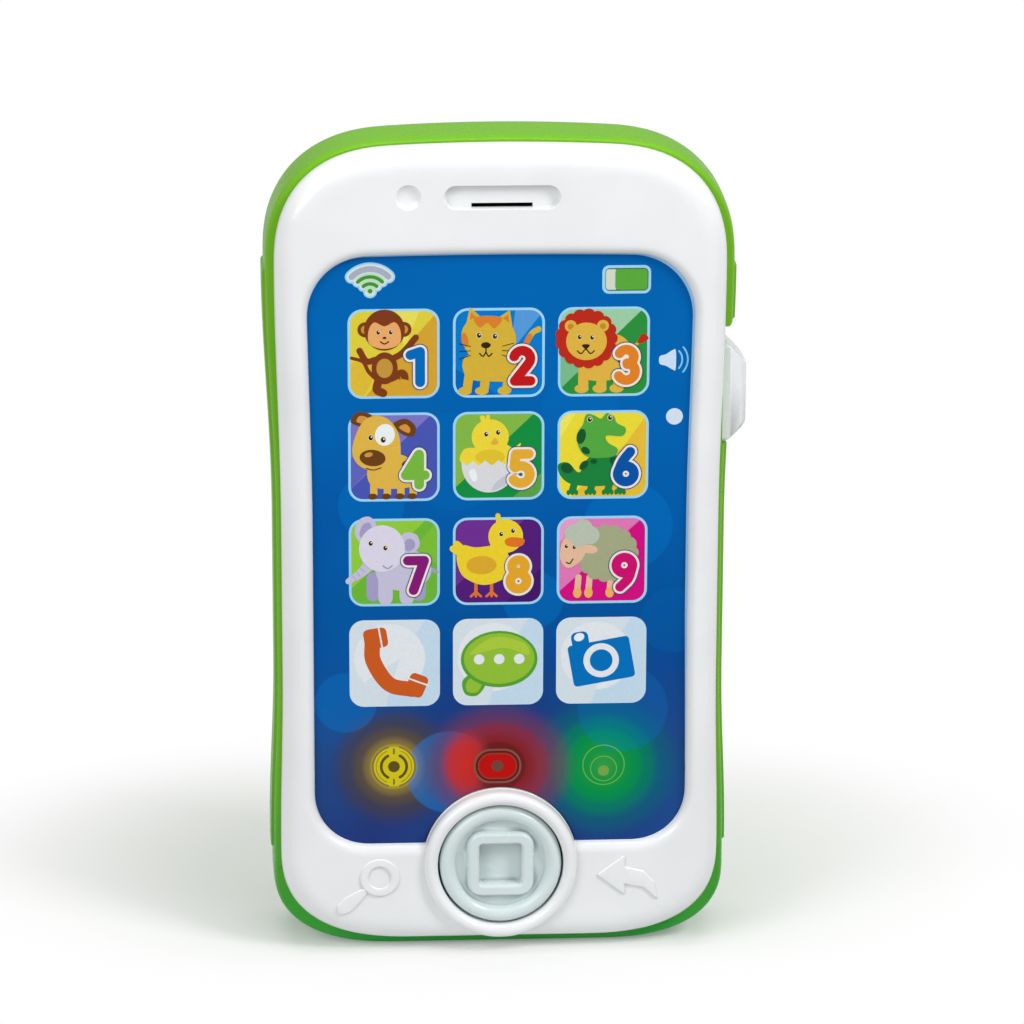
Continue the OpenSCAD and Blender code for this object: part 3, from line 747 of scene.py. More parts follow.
def rear_shell():
    """The green shell: walls and wells added, then holes, door seat, bay and slider recess cut."""
    piece = loft("shell_moulding", shell_rings(), shell_plastic("shell_green"))
    wall = 1.4
    bay_walls = [(low - wall, high + wall) for low, high in (BAY[0], BAY[2])]
    combine(piece, box_mesh(bay_walls[0], (BAY[1][0] - wall, 12.5), bay_walls[1]), "UNION")
    combine(piece, box_mesh((-20.6, 20.6), (10.4, 12.5), (50.6, 121.4)), "UNION")
    combine(piece, joined([prism(circle(p, 4.3, 48), -1.1, 12.6) for p in SCREWS]), "UNION")
    combine(piece, box_mesh((36.5, 39.6), (-7.4, 8), (91, 117)), "UNION")
    spots = [SPEAKER]
    for ring in (1, 2, 3):
        for i in range(6 * ring):
            a, r = math.pi / 3 * i / ring, HOLE_PITCH * ring
            spots.append((SPEAKER[0] + r * math.cos(a), SPEAKER[1] + r * math.sin(a)))
    combine(piece, joined([prism(circle(spot, 1, 20), 8, 14, 0.15) for spot in spots]), "DIFFERENCE")
    combine(piece, joined([prism(circle(p, 3, 48), 0, 13.8, 0.25) for p in SCREWS]), "DIFFERENCE")
    combine(piece, prism(soft_box(DOOR["centre"], DOOR["w"] + 0.4, DOOR["h"] + 0.4, DOOR["r"] + 0.2),
                         12.4, 14, 0.2), "DIFFERENCE")
    combine(piece, box_mesh(*BAY), "DIFFERENCE")
    combine(piece, joined([prism(circle((0, z), 1.05, 24), 4.4, 13) for z in DOOR_SCREWS]), "DIFFERENCE")
    top, low = KNOB_Z + KNOB_HALF + 3.6, KNOB_Z - KNOB_HALF - 0.4
    combine(piece, prism([(39.6, low), (46, low - 1.5), (46, top + 5), (40.6, top), (39.6, top)], -9, 5.2),
            "DIFFERENCE")
    combine(piece, loft("cutter", [[(39.6, 5.1, low), (41.2, 11.3, low), (46, 13, low), (46, 5.1, low)],
                                   [(39.6, 5.1, top), (41.2, 11.3, top), (46, 13, top), (46, 5.1, top)]]),
            "DIFFERENCE")
    settle_shading(piece)
    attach(piece, "casing")
    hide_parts("rear_cover")


def battery_door():
    """The door with its grip grooves and screw seats."""
    shape = soft_box(DOOR["centre"], DOOR["w"], DOOR["h"], DOOR["r"])
    rim = Field(shape)
    grooves = [(0, 84.6 + 3 * k) for k in range(-2, 3)]

    def front(p):
        h = 13.7 + 0.3 * bulge(-rim(p) / 0.35, 2, 2)
        for g in grooves:
            bar = capsule(p, (-5.4, g[1]), (5.4, g[1]), 0.6)
            h = h - 0.5 * smooth_step((0.1 - bar) / 0.5)
        for z in DOOR_SCREWS:
            h = h - 0.9 * smooth_step((2.55 - from_centre(p, (0, z))) / 0.1)
        return h

    def keep(p):
        solid = rim(p) < 0
        for z in DOOR_SCREWS:
            solid &= from_centre(p, (0, z)) > 1.2
        return solid

    loops = nested(shape, (0, 0.05, 0.12, 0.22, 0.36))
    for g in grooves:
        loops += [soft_box(g, 12 + 2 * d, 1.2 + 2 * d, 0.55 + d, 6) for d in (-0.4, -0.15, 0.1)]
    for z in DOOR_SCREWS:
        loops += [circle((0, z), r, 48) for r in (1.2, 2.45, 2.5, 2.55)]
    piece = relief("door_moulding", loops, keep, front, level(12.4), to_back,
                   shell_plastic("door_green"), 2.5)
    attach(piece, "cell_door")
    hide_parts("battery_door")


# ---- controls ----

def home_button():
    """The round cap: a raised collar, a dish and a raised square frame."""
    outer = soft_box(HOME, 12.1, 12.1, 2.6)
    inner = soft_box(HOME, 7.6, 7.6, 0.7)
    outer_field, inner_field = Field(outer), Field(inner)
    edge = BUTTON_R - 0.1

    def front(p):
        r = from_centre(p, HOME)
        reach = np.where(r > 9.7, 1.4, 1.5)
        collar = 11.6 + 1.7 * np.sqrt(np.clip(1 - ((r - 9.7) / reach) ** 2, 0, 1))
        dish = 11.5 + 0.1 * smooth_step((8.0 - r) / 0.5)
        h = soft_max(collar, dish, 0.1)
        band = np.minimum(-outer_field(p), inner_field(p))
        h = np.where(band > -0.05, np.maximum(h, 11.75 + 1.3 * bulge(band / 0.55, 2, 2)), h)
        return np.where(inner_field(p) < 0.02, 10.3, h)

    loops = [circle(HOME, r) for r in (edge, 11.03, 10.98, 10.88, 10.7, 10.4, 10.1, 9.7, 9.3, 8.95, 8.65,
                                       8.45,
                                       8.32, 8.24, 8.18, 8.1, 8.0)]
    loops += nested(outer, (-0.05, 0.03, 0.1, 0.22, 0.4, 0.6, 0.8))
    loops += [push(inner, d) for d in (0.8, 0.6, 0.4, 0.22, 0.1, 0.03, 0.0)]
    piece = relief("button_cap", loops, lambda p: from_centre(p, HOME) < edge, front, level(7.4), to_front,
                   plastic("button_grey", (216, 229, 229), 0.24, 0.012, 0.02))
    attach(piece, "home_key")
    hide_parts("home_button")


def rubber_dome():
    """The rubber dome under the button, built at rest; in the toy it flattens as the button goes in."""
    front, seat = node_span("home_dome", 1)
    profile = [(1.2, 0), (2.3, 0), (2.5, 0.06), (2.75, 0.25), (3.0, 0.5), (4.5, 2.4), (4.75, 2.58),
               (5.4, 2.62)]
    skin = curve_through([(front + depth, r, 0) for r, depth in profile[2:6]])
    rows = [(front + depth, r) for r, depth in profile[:2]] + [(y, r) for y, r, _ in skin]
    rows += [(front + depth, r) for r, depth in profile[6:]] + [(seat, 5.4), (seat, 3.9),
                                                                (front + 1.2, 2.4)]
    piece = loft("dome_moulding", [[(x, y, z) for x, z in circle(HOME, r, 64)] for y, r in rows],
                 plastic("dome_skin", (70, 70, 76), 0.7, 0.06, 0.1))
    settle_shading(piece)
    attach(piece, "casing")
    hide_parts("home_dome")
    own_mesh(piece)


def slider_knob():
    """The knob: sloped at both ends, with grip grooves across its crest."""
    centre = (-1.0, KNOB_Z)
    shape = soft_box(centre, 10.4, 2 * KNOB_HALF, 0.8, 5)
    rim = Field(shape)

    def front(p):
        along = np.abs(p[:, 1] - KNOB_Z)
        slope = 40.6 + KNOB_HALF - along
        across = 43.0 + (5.2 - np.abs(p[:, 0] - centre[0])) * 1.1
        h = soft_min(soft_min(slope, across, 0.5), np.full(len(p), 44.0), 0.5)
        h = h - 0.35 * (1 - bulge(-rim(p) / 0.4, 2, 2))
        for k in range(-2, 3):
            groove = capsule(p, (-4.6, KNOB_Z + 2 * k), (2.6, KNOB_Z + 2 * k), 0.28)
            h = h - 0.3 * smooth_step((0.14 - groove) / 0.42)
        return h

    loops = nested(shape, (0, 0.06, 0.15, 0.28, 0.42, 0.7))
    loops += [soft_box(centre, 7.2 + 2 * d, 10.0 + 2 * d, 0.4, 3) for d in (0, 0.5, 1.0)]
    for k in range(-2, 3):
        loops += [soft_box((centre[0], KNOB_Z + 2 * k), 7.6 + 2 * d, 0.56 + 2 * d, 0.2,
                           4) for d in (-0.05, 0.12)]
    piece = relief("knob_cap", loops, lambda p: rim(p) < 0, front, level(39.75), to_right,
                   plastic("knob_plastic", (237, 240, 242), 0.28, 0.01, 0.03), 0.8)
    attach(piece, "volume_slider")
    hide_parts("slider_knob")


# ---- printed artwork ----

LAYER = 0.0025  # thickness of one ink


def smooth_loop(points, steps=8):
    """Closed Catmull-Rom curve through points."""
    p = [np.array(q, float) for q in points]
    out = []
    for i in range(len(p)):
        a, b, c, d = p[i - 1], p[i], p[(i + 1) % len(p)], p[(i + 2) % len(p)]
        out += [tuple(between(a, b, c, d, k / steps)) for k in range(steps)]
    return out


def smooth_path(points, steps=8):
    return [tuple(q) for q in curve_through(points, steps)]


def arc(centre, r, start, end, n=18, rz=None):
    """Points along an arc, angles in degrees."""
    rz = r if rz is None else rz
    return [(centre[0] + r * math.cos(math.radians(start + (end - start) * i / n)),
             centre[1] + rz * math.sin(math.radians(start + (end - start) * i / n))) for i in range(n + 1)]


def ribbon(path, width, taper=1.0):
    """Outline of a stroke with round ends along an open path; taper scales the width at its end."""
    p = np.array(path, float)
    d = np.gradient(p, axis=0)
    d /= np.maximum(np.linalg.norm(d, axis=1), 1e-9)[:, None]
    side = np.stack([-d[:, 1], d[:, 0]], 1)
    half = width / 2 * np.linspace(1, taper, len(p))[:, None]
    left, right = p + side * half, p - side * half
    a0 = math.degrees(math.atan2(side[-1][1], side[-1][0]))
    end_cap = arc(p[-1], half[-1][0], a0, a0 - 180, 8)
    a1 = math.degrees(math.atan2(-side[0][1], -side[0][0]))
    start_cap = arc(p[0], half[0][0], a1, a1 - 180, 8)
    return [tuple(q) for q in left] + end_cap[1:-1] + [tuple(q) for q in right[::-1]] + start_cap[1:-1]


def turned(points, degrees, shift=(0, 0)):
    c, s = math.cos(math.radians(degrees)), math.sin(math.radians(degrees))
    return [(x * c - z * s + shift[0], x * s + z * c + shift[1]) for x, z in points]


def clip_convex(points, border):
    """The part of a polygon inside a convex anticlockwise border."""
    out = list(points)
    for i in range(len(border)):
        a, b = border[i], border[(i + 1) % len(border)]
        if math.dist(a, b) < 1e-9:
            continue

        def side(q):
            return (b[0] - a[0]) * (q[1] - a[1]) - (b[1] - a[1]) * (q[0] - a[0])
        source, out = out, []
        for j in range(len(source)):
            p, q = source[j - 1], source[j]
            sp, sq = side(p), side(q)
            if sp * sq < 0:
                t = sp / (sp - sq)
                out.append((p[0] + t * (q[0] - p[0]), p[1] + t * (q[1] - p[1])))
            if sq >= 0:
                out.append(q)
    return out


class Print:
    """Flat inks stacked on the film around a centre, each a little prouder than the last."""

    def __init__(self, name, centre):
        self.name, self.centre = name, centre
        self.vertices, self.faces, self.slots, self.materials = [], [], [], []
        self.layer = 1

    def fill(self, colour, loop, *holes):
        """A filled shape; colour is (ink name, 8-bit sRGB)."""
        material = ink(*colour)
        if material not in self.materials:
            self.materials.append(material)
        slot = self.materials.index(material)
        loops = [[(x + self.centre[0], z + self.centre[1]) for x, z in each] for each in (loop,) + holes]
        flat = [Vector((x, z, 0)) for each in loops for x, z in each]
        top = FILM_Y - 0.003 - LAYER * self.layer
        start, n = len(self.vertices), len(flat)
        self.vertices += [(p.x, top, p.y) for p in flat] + [(p.x, FILM_Y + 0.02, p.y) for p in flat]
        for a, b, c in tessellate_polygon([[Vector((x, z, 0)) for x, z in each] for each in loops]):
            turn = (flat[b] - flat[a]).cross(flat[c] - flat[a]).z
            a, c = (a, c) if turn > 0 else (c, a)
            self.faces.append((start + a, start + b, start + c))
            self.faces.append((start + n + c, start + n + b, start + n + a))
            self.slots += [slot, slot]
        at = 0
        for index, each in enumerate(loops):
            m = len(each)
            area = sum(each[i - 1][0] * each[i][1] - each[i][0] * each[i - 1][1] for i in range(m))
            forward = (area > 0) == (index == 0)
            for i in range(m):
                a, b = start + at + i, start + at + (i + 1) % m
                a, b = (a, b) if forward else (b, a)
                self.faces.append((b, a, a + n, b + n))
                self.slots.append(slot)
            at += m
        self.layer += 1

    def dot(self, colour, centre, rx, rz=None, tilt=0.0, n=36):
        self.fill(colour, oval(centre, rx, rx if rz is None else rz, n, tilt))

    def blob(self, colour, points, steps=7):
        self.fill(colour, smooth_loop(points, steps))

    def line(self, colour, points, width, taper=1.0):
        self.fill(colour, ribbon(smooth_path(points, 6) if len(points) > 2 else points, width, taper))

    def ring(self, colour, centre, r, width):
        self.fill(colour, circle(centre, r + width / 2, 40), circle(centre, r - width / 2, 40)[::-1])

    def eyes(self, r, *centres):
        """Dark eyes with a pale rim and a glint."""
        for x, z in centres:
            self.dot(CREAM, (x, z), r * 1.25, r * 1.45, n=24)
            self.dot(DARK, (x, z), r, r * 1.2, n=24)
            self.dot(WHITE, (x + 0.12, z + 0.14), r * 0.36, n=16)

    def finish(self):
        piece = new_object(self.name, self.vertices, self.faces)
        for material in self.materials:
            piece.data.materials.append(material)
        piece.data.polygons.foreach_set("material_index", self.slots)
        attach(piece, "casing")
        return piece


WHITE = ("white", (240, 245, 248))
CREAM = ("cream", (246, 226, 170))
DARK = ("dark", (52, 36, 24))
PALE = ("pale_blue", (160, 216, 246))
NAVY = ("edge_navy", (52, 70, 120))
HALO = ("numeral_white", (238, 232, 226))

NUMERALS = {
    1: [[(-1.15, 2.15), (0.55, 2.75)], [(0.55, 2.75), (0.55, -2.8)]],
    2: [arc((0, 1.3), 1.45, 165, -35) + [(-1.25, -2.7)], [(-1.3, -2.75), (1.5, -2.75)]],
    3: [arc((-0.05, 1.4), 1.35, 150, -80), arc((0, -1.25), 1.55, 85, -150)],
    4: [[(0.7, 2.75), (-1.6, -1.05)], [(-1.6, -1.05), (1.75, -1.05)], [(0.75, 2.75), (0.75, -2.8)]],
    5: [[(1.35, 2.7), (-0.95, 2.7)], [(-0.95, 2.7), (-1.2, 0.35)], arc((-0.05, -1.05), 1.6, 128, -145)],
    6: [smooth_path([(0.75, 2.8), (-0.55, 1.1), (-1.4, -0.9)])],
    7: [[(-1.5, 2.7), (1.4, 2.7)], [(1.4, 2.7), (-0.5, -2.8)]],
    8: [],
    9: [smooth_path([(1.4, 0.9), (0.75, -1.2), (-0.75, -2.8)])],
}
NUMERAL_RINGS = {6: [((0, -1.25), 1.45)], 8: [((0, 1.4), 1.15), ((0, -1.35), 1.45)], 9: [((0, 1.25), 1.45)]}


def numeral(art, digit, colour, at=(4.0, -2.4)):
    """A rounded numeral with a white border and a thin dark edge."""
    for border, width in ((NAVY, 2.85), (HALO, 2.55), (colour, 1.75)):
        for path in NUMERALS[digit]:
            art.fill(border, ribbon([(x + at[0], z + at[1]) for x, z in path], width))
        for centre, r in NUMERAL_RINGS.get(digit, []):
            spread = min(width, 2 * r - 0.25)
            outer = circle((at[0] + centre[0], at[1] + centre[1]), r + width / 2, 40)
            inner = circle((at[0] + centre[0], at[1] + centre[1]), r - spread / 2, 24)
            art.fill(border, outer, inner[::-1])


TILE = 16.2
COLUMNS = (-19.0, -0.45, 18.1)
ROWS = (111.7, 92.9, 73.5, 54.7)
BORDER = soft_box((0, 0), TILE - 0.9, TILE - 0.9, 2.15, 6)


def key(number, ground, facets):
    """A numbered key's square with its border, ground colour and lighter facets."""
    row, column = divmod(number - 1, 3)
    art = Print("key_%d_print" % number, (COLUMNS[column], ROWS[row]))
    art.fill(PALE, soft_box((0, 0), TILE, TILE, 2.6, 8))
    art.fill(ground, BORDER)
    for colour, points in facets:
        art.fill(colour, clip_convex(points, BORDER))
    return art


def monkey():
    fur = ("monkey_fur", (128, 60, 26))
    face = ("monkey_face", (238, 172, 106))
    belly = ("monkey_belly", (200, 150, 62))
    art = key(1, ("sun_yellow", (226, 210, 62)), [
        (("sun_orange", (216, 166, 50)), [(9, 9), (9, -9), (-6, -9), (2, 1)]),
        (("sun_mid", (226, 190, 56)), [(-9, -2), (-1, 0), (-6, -9), (-9, -9)]),
        (("sun_pale", (236, 224, 92)), [(2, 1), (5, 9), (0, 9)])])
    art.line(fur, [(-2.6, -5.0), (-4.4, -3.2), (-5.4, -1.4), (-7.4, -0.7)], 0.75, 0.8)
    art.line(fur, [(-3.0, -1.0), (-4.8, -1.3), (-6.0, 0.6)], 1.15)
    art.line(fur, [(-0.4, -1.0), (1.6, 0.2), (3.9, 2.9)], 1.15)
    art.line(fur, [(-2.6, -4.6), (-3.0, -6.4), (-1.9, -7.1)], 1.5)
    art.line(fur, [(-0.6, -4.4), (1.6, -3.6), (1.9, -5.6)], 1.5)
    art.dot(fur, (-1.6, -2.6), 2.3, 2.9)
    art.dot(belly, (-1.6, -2.6), 1.45, 1.75)
    for x in (-5.0, 1.8):
        art.dot(fur, (x, 4.4), 1.35)
        art.dot(belly, (x, 4.4), 0.75)
    art.dot(fur, (-1.6, 4.3), 3.6, 3.7)
    art.blob(face, [(-1.6, 0.9), (-4.2, 1.8), (-4.4, 4.2), (-3.4, 5.7), (-1.6, 5.0), (0.2, 5.7), (1.2, 4.2),
                    (1.0, 1.8)])
    art.eyes(0.33, (-2.7, 3.9), (-0.5, 3.9))
    art.line(DARK, [(-2.3, 2.2), (-1.6, 1.8), (-0.9, 2.2)], 0.22)
    art.dot(DARK, (-1.6, 2.9), 0.35, 0.2)
    numeral(art, 1, ("numeral_blue", (0, 108, 190)), (4.1, -2.4))
    art.finish()


def cat():
    coat, patch = ("cat_coat", (216, 180, 60)), ("cat_patch", (222, 130, 46))
    art = key(2, ("sky_blue", (4, 124, 206)), [
        (("sky_light", (86, 156, 222)), [(2, 0), (3, 9), (9, 9)]),
        (("sky_deep", (0, 104, 188)), [(-9, -9), (-9, -2), (2, -9)])])
    art.line(coat, [(3.4, -1.2), (4.6, 1.2), (5.8, 3.4), (7.0, 4.2)], 1.0)
    art.line(patch, [(4.9, 1.8), (5.4, 2.9)], 1.0)
    for x in (-5.2, -2.2, 1.8):
        art.line(coat, [(x, -3.6), (x - 0.4, -6.6)], 1.6)
        art.dot(coat, (x - 0.8, -6.9), 1.2, 0.75)
    art.blob(coat, [(-5.8, -0.6), (-5.6, -4.4), (-1, -5.2), (3.4, -4.8), (4.2, -1.4), (1.2, 0.8)])
    art.fill(coat, [(-5.9, 4.8), (-5.1, 8.3), (-2.9, 6.2)])
    art.fill(coat, [(-0.6, 6.0), (1.9, 7.7), (2.4, 4.4)])
    art.fill(patch, [(-5.2, 5.4), (-4.9, 7.4), (-3.7, 6.1)])
    art.fill(patch, [(0.2, 5.9), (1.6, 6.9), (1.9, 5.0)])
    art.blob(coat, [(-6.6, 3.0), (-5.6, 5.6), (-3.0, 6.6), (0.2, 6.4), (2.4, 4.6), (3.0, 1.8), (1.6, -0.8),
                    (-1.8, -1.8), (-5.0, -0.6)])
    art.blob(patch, [(-4.4, 6.3), (-3.4, 4.6), (-2.0, 5.4), (-0.8, 4.4), (0.6, 6.2), (-1.8, 6.7)])
    art.dot(patch, (-6.0, 2.4), 0.6, 1.3, 10)
    art.eyes(0.4, (-3.5, 3.2), (-0.7, 3.0))
    art.dot(DARK, (-2.3, 1.4), 0.85, 0.55)
    art.line(DARK, [(-3.4, -0.1), (-2.8, -0.6), (-2.3, 0.2), (-2.3, 0.9)], 0.22)
    art.line(DARK, [(-2.3, 0.2), (-1.8, -0.6), (-1.2, -0.1)], 0.22)
    for z, lift in ((1.2, 0.5), (0.4, -0.1), (-0.4, -0.7)):
        art.line(DARK, [(0.6, z), (2.6, z + lift)], 0.12)
        art.line(DARK, [(-5.0, z), (-7.0, z + lift)], 0.12)
    numeral(art, 2, ("numeral_red", (196, 24, 30)), (4.1, -2.4))
    art.finish()


def lion():
    coat = ("lion_coat", (226, 182, 70))
    mane = ("lion_mane", (190, 44, 28))
    ear = ("lion_ear", (198, 140, 50))
    art = key(3, ("leaf_dark", (44, 146, 62)), [
        (("leaf_pale", (158, 208, 166)), [(-9, 9), (8.2, 9), (-9, -8)]),
        (("leaf_mid", (122, 190, 140)), [(-9, 3), (-9, -8), (-2, -1)])])
    art.line(coat, [(3.6, 1.6), (5.2, 1.0), (6.4, 1.8)], 0.5)
    art.blob(mane, [(5.9, 1.6), (6.8, 3.2), (7.9, 2.4), (6.9, 1.5)])
    for x in (-3.6, -0.4, 2.6):
        art.line(coat, [(x, -3.4), (x, -6.4)], 1.8)
        art.dot(coat, (x - 0.3, -6.7), 1.25, 0.8)
    art.blob(coat, [(-4.2, -1.4), (-3.4, -4.8), (1.0, -5.2), (4.6, -3.6), (5.0, 0.4), (2.6, 3.0),
                    (-1, 2.0)])
    scallops = 17
    for i in range(scallops):
        a = 2 * math.pi * i / scallops
        art.dot(mane, (-3.1 + 4.4 * math.cos(a), 2.4 + 4.3 * math.sin(a)), 1.15, n=18)
    art.dot(mane, (-3.1, 2.4), 4.6, 4.5)
    for x in (-5.9, -0.2):
        art.dot(coat, (x, 4.7), 1.05)
        art.dot(ear, (x, 4.6), 0.55)
    art.dot(coat, (-3.1, 1.9), 3.6, 3.4)
    art.eyes(0.34, (-4.3, 2.7), (-2.1, 2.6))
    art.blob(DARK, [(-3.9, 1.2), (-3.2, 1.4), (-2.5, 1.2), (-3.2, 0.5)])
    art.line(DARK, [(-4.7, 0.2), (-4.0, -0.3), (-3.2, 0.5), (-2.4, -0.3), (-1.7, 0.2)], 0.22)
    numeral(art, 3, ("numeral_orange", (228, 132, 40)), (4.0, -2.4))
    art.finish()


def dog():
    coat, ear, patch = ("dog_coat", (226, 184, 74)), ("dog_ear", (110, 66, 26)), ("dog_tan", (214, 150, 70))
    art = key(4, ("iris_blue", (74, 88, 182)), [
        (("iris_pale", (124, 120, 202)), [(-9, 9), (8, 9), (-9, -7)]),
        (("iris_mid", (96, 102, 192)), [(-9, 0), (-9, -7), (-2, 0)])])
    for x in (-3.6, -1.2, 1.2, 3.4):
        art.line(coat, [(x, -4.0), (x, -6.8)], 1.3)
        art.dot(ear, (x - 0.2, -7.2), 0.85, 0.55)
    art.blob(coat, [(-4.4, -1.6), (-4.0, -5.2), (0, -5.8), (3.8, -5.0), (4.0, -1.6), (0.4, 0.6)])
    art.dot(ear, (2.2, -1.2), 0.9, 0.6, 30)
    art.blob(ear, [(-7.6, 6.4), (-6.4, 8.3), (-3.8, 7.6), (-4.6, 5.6)])
    art.blob(patch, [(-6.6, 6.6), (-6.0, 7.6), (-4.6, 7.2), (-5.2, 6.2)])
    art.blob(ear, [(-0.2, 6.0), (2.0, 7.0), (3.8, 5.6), (3.4, 3.8), (1.4, 4.2)])
    art.blob(patch, [(0.9, 5.4), (2.1, 6.0), (2.9, 5.1), (2.5, 4.4)])
    art.blob(coat, [(-6.2, 5.4), (-4.2, 7.4), (-1.4, 7.2), (0.6, 4.8), (1.2, 1.4), (0.6, -1.4),
                    (-2.6, -2.6),
                    (-6.0, -1.6), (-7.4, 1.2)])
    art.dot(WHITE, (-1.6, 4.1), 1.75, 2.0, -12)
    art.eyes(0.4, (-4.1, 3.6))
    art.eyes(0.42, (-1.9, 3.2))
    art.dot(ear, (-3.8, -0.1), 2.3, 1.5, -6)
    art.dot(patch, (-4.5, 0.5), 0.75, 0.42, 12)
    art.line(ear, [(-4.9, -2.0), (-3.6, -2.3), (-2.3, -1.9)], 0.2)
    numeral(art, 4, ("numeral_green", (122, 186, 66)), (3.7, -2.3))
    art.finish()


def chick():
    down = ("chick_down", (240, 218, 60))
    shade_ink = ("chick_shade", (228, 198, 50))
    beak = ("chick_beak", (226, 176, 58))
    shell, shell_shade = ("egg_shell", (222, 222, 226)), ("egg_shade", (200, 202, 210))
    art = key(5, ("grass_dark", (18, 144, 66)), [
        (("grass_light", (132, 186, 72)), [(-9, 9), (7.6, 9), (-9, -7)]),
        (("grass_mid", (92, 166, 70)), [(9, -9), (9, -2), (1, -9)])])
    art.line(down, [(-2.9, 7.0), (-2.4, 5.8)], 0.9)
    art.line(down, [(-1.9, 7.2), (-2.1, 5.8)], 0.7)
    art.blob(down, [(-6.6, -1.2), (-6.2, 1.2), (-4.0, 1.6), (-2.2, 2.0), (1.0, 2.2), (2.6, 1.4), (3.9, 2.3),
                    (3.4, 0.2),
                    (3.2, -1.6), (-2, -2.8)])
    art.dot(down, (-1.5, 3.5), 3.3, 3.2)
    art.dot(shade_ink, (-1.5, -0.2), 2.6, 1.4)
    art.eyes(0.36, (-2.2, 4.0), (-0.1, 4.3))
    art.fill(beak, [(-1.5, 2.3), (-0.7, 3.4), (0.1, 2.4), (-0.7, 2.0)])
    art.fill(shell, [(-6.6, -0.9), (-5.6, -1.7), (-4.6, -0.9), (-3.5, -1.8), (-2.4, -0.8), (-1.2, -1.8),
                     (0.0, -0.8),
                     (1.2, -1.7), (2.3, -0.7), (3.2, -1.5)] + arc((-1.7, -1.4), 4.9, 0, -180, 20, rz=5.3))
    art.blob(shell_shade, [(-1, -6.4), (2.2, -4.6), (2.8, -2.4), (1.4, -3.4), (-0.6, -5.0)])
    art.blob(WHITE, [(-5.2, -2.8), (-4.2, -2.4), (-3.8, -4.2), (-4.6, -4.6)])
    numeral(art, 5, ("numeral_amber", (232, 174, 52)), (4.0, -2.4))
    art.finish()


def crocodile():
    light = ("croc_light", (84, 170, 66))
    deep = ("croc_deep", (28, 132, 62))
    spot = ("croc_spot", (22, 88, 44))
    art = key(6, ("lemon", (238, 222, 56)), [
        (("lemon_deep", (234, 192, 58)), [(9, 9), (9, -9), (-7, -9), (4, 2)]),
        (("lemon_pale", (244, 232, 96)), [(-9, 9), (-4, 9), (-9, 1)])])
    art.blob(deep, [(-8.0, -1.8), (-6.2, -1.4), (-4.2, -3.2), (-2.6, -0.6), (0.6, 0.2), (3.2, -0.6),
                    (4.0, -3.0),
                    (3.0, -5.2), (-1.0, -5.8), (-5.4, -5.4), (-7.4, -4.0)])
    for x in (-4.9, -1.7, 1.4, 3.6):
        art.line(deep, [(x, -4.6), (x - 0.5, -6.6)], 1.3)
        for toe in (-0.7, 0, 0.7):
            art.dot(deep, (x - 0.5 + toe, -6.9), 0.35, 0.5, n=14)
    art.blob(light, [(-3.6, 5.6), (-3.0, 7.4), (-1.6, 7.2), (-0.4, 6.6), (0.6, 7.6), (1.9, 7.0), (2.4, 5.8),
                     (4.0, 4.8),
                     (3.4, 3.4), (0.6, 3.5), (0.9, 2.2), (2.6, 1.0), (1.6, -0.4), (-2.6, -0.4), (-4.4, 1.6),
                     (-4.4, 4.2)])
    art.dot(spot, (-3.9, 3.4), 0.8, 1.4, -12)
    art.dot(spot, (-3.1, 0.8), 0.85, 0.6, -35)
    art.dot(spot, (-6.4, -2.4), 1.1, 0.85, -25)
    art.dot(spot, (-3.4, -1.9), 1.0, 0.6, 50)
    art.dot(spot, (-1.6, -1.2), 0.6, 0.45)
    art.dot(spot, (2.4, -1.4), 1.3, 0.8, -30)
    art.eyes(0.38, (-2.4, 6.5), (1.2, 6.8))
    numeral(art, 6, ("numeral_deep_blue", (6, 84, 168)), (4.1, -2.3))
    art.finish()


def elephant():
    skin = ("elephant", (200, 196, 222))
    dim = ("elephant_dim", (166, 160, 200))
    pale = ("elephant_pale", (222, 218, 236))
    art = key(7, ("lime", (110, 186, 56)), [
        (("lime_light", (148, 206, 60)), [(-9, 9), (7, 9), (-9, -6)]),
        (("lime_mid", (126, 194, 56)), [(9, 9), (9, 0), (1, 0)])])
    art.line(dim, [(5.0, -1.0), (6.6, -1.4), (7.6, -1.9)], 0.6)
    for x in (-3.8, 4.4):
        art.line(dim, [(x, -3.0), (x, -6.0)], 2.4)
    art.dot(skin, (1.6, -1.4), 5.0, 3.9)
    for x in (-1.6, 2.2):
        art.line(skin, [(x, -3.0), (x, -6.6)], 2.6)
    art.blob(skin, [(-7.0, 5.2), (-6.4, 7.8), (-4.4, 8.5), (-3.2, 6.6), (-5.2, 3.4)])
    art.blob(dim, [(-6.2, 5.2), (-5.6, 7.0), (-4.4, 7.4), (-4.0, 6.0), (-5.2, 4.4)])
    art.blob(skin, [(0.6, 3.2), (1.8, 5.4), (4.0, 5.0), (4.4, 2.8), (2.2, 1.4)])
    art.blob(dim, [(1.6, 3.0), (2.3, 4.3), (3.5, 4.0), (3.6, 2.7), (2.4, 2.0)])
    art.line(skin, [(-3.8, 0.6), (-5.6, -1.6), (-8.2, -3.4)], 2.4, 0.45)
    art.dot(pale, (-2.2, 2.6), 4.1, 4.3)
    for k in range(4):
        art.line(dim, [(-5.4 - 0.7 * k, -0.2 - 0.7 * k), (-4.6 - 0.75 * k, -1.0 - 0.75 * k)], 0.12)
    art.eyes(0.36, (-4.2, 3.6), (-1.6, 2.7))
    art.line(dim, [(-2.0, -0.6), (-1.2, -1.1), (-0.4, -0.6)], 0.25)
    numeral(art, 7, ("numeral_purple", (136, 26, 120)), (3.9, -2.4))
    art.finish()


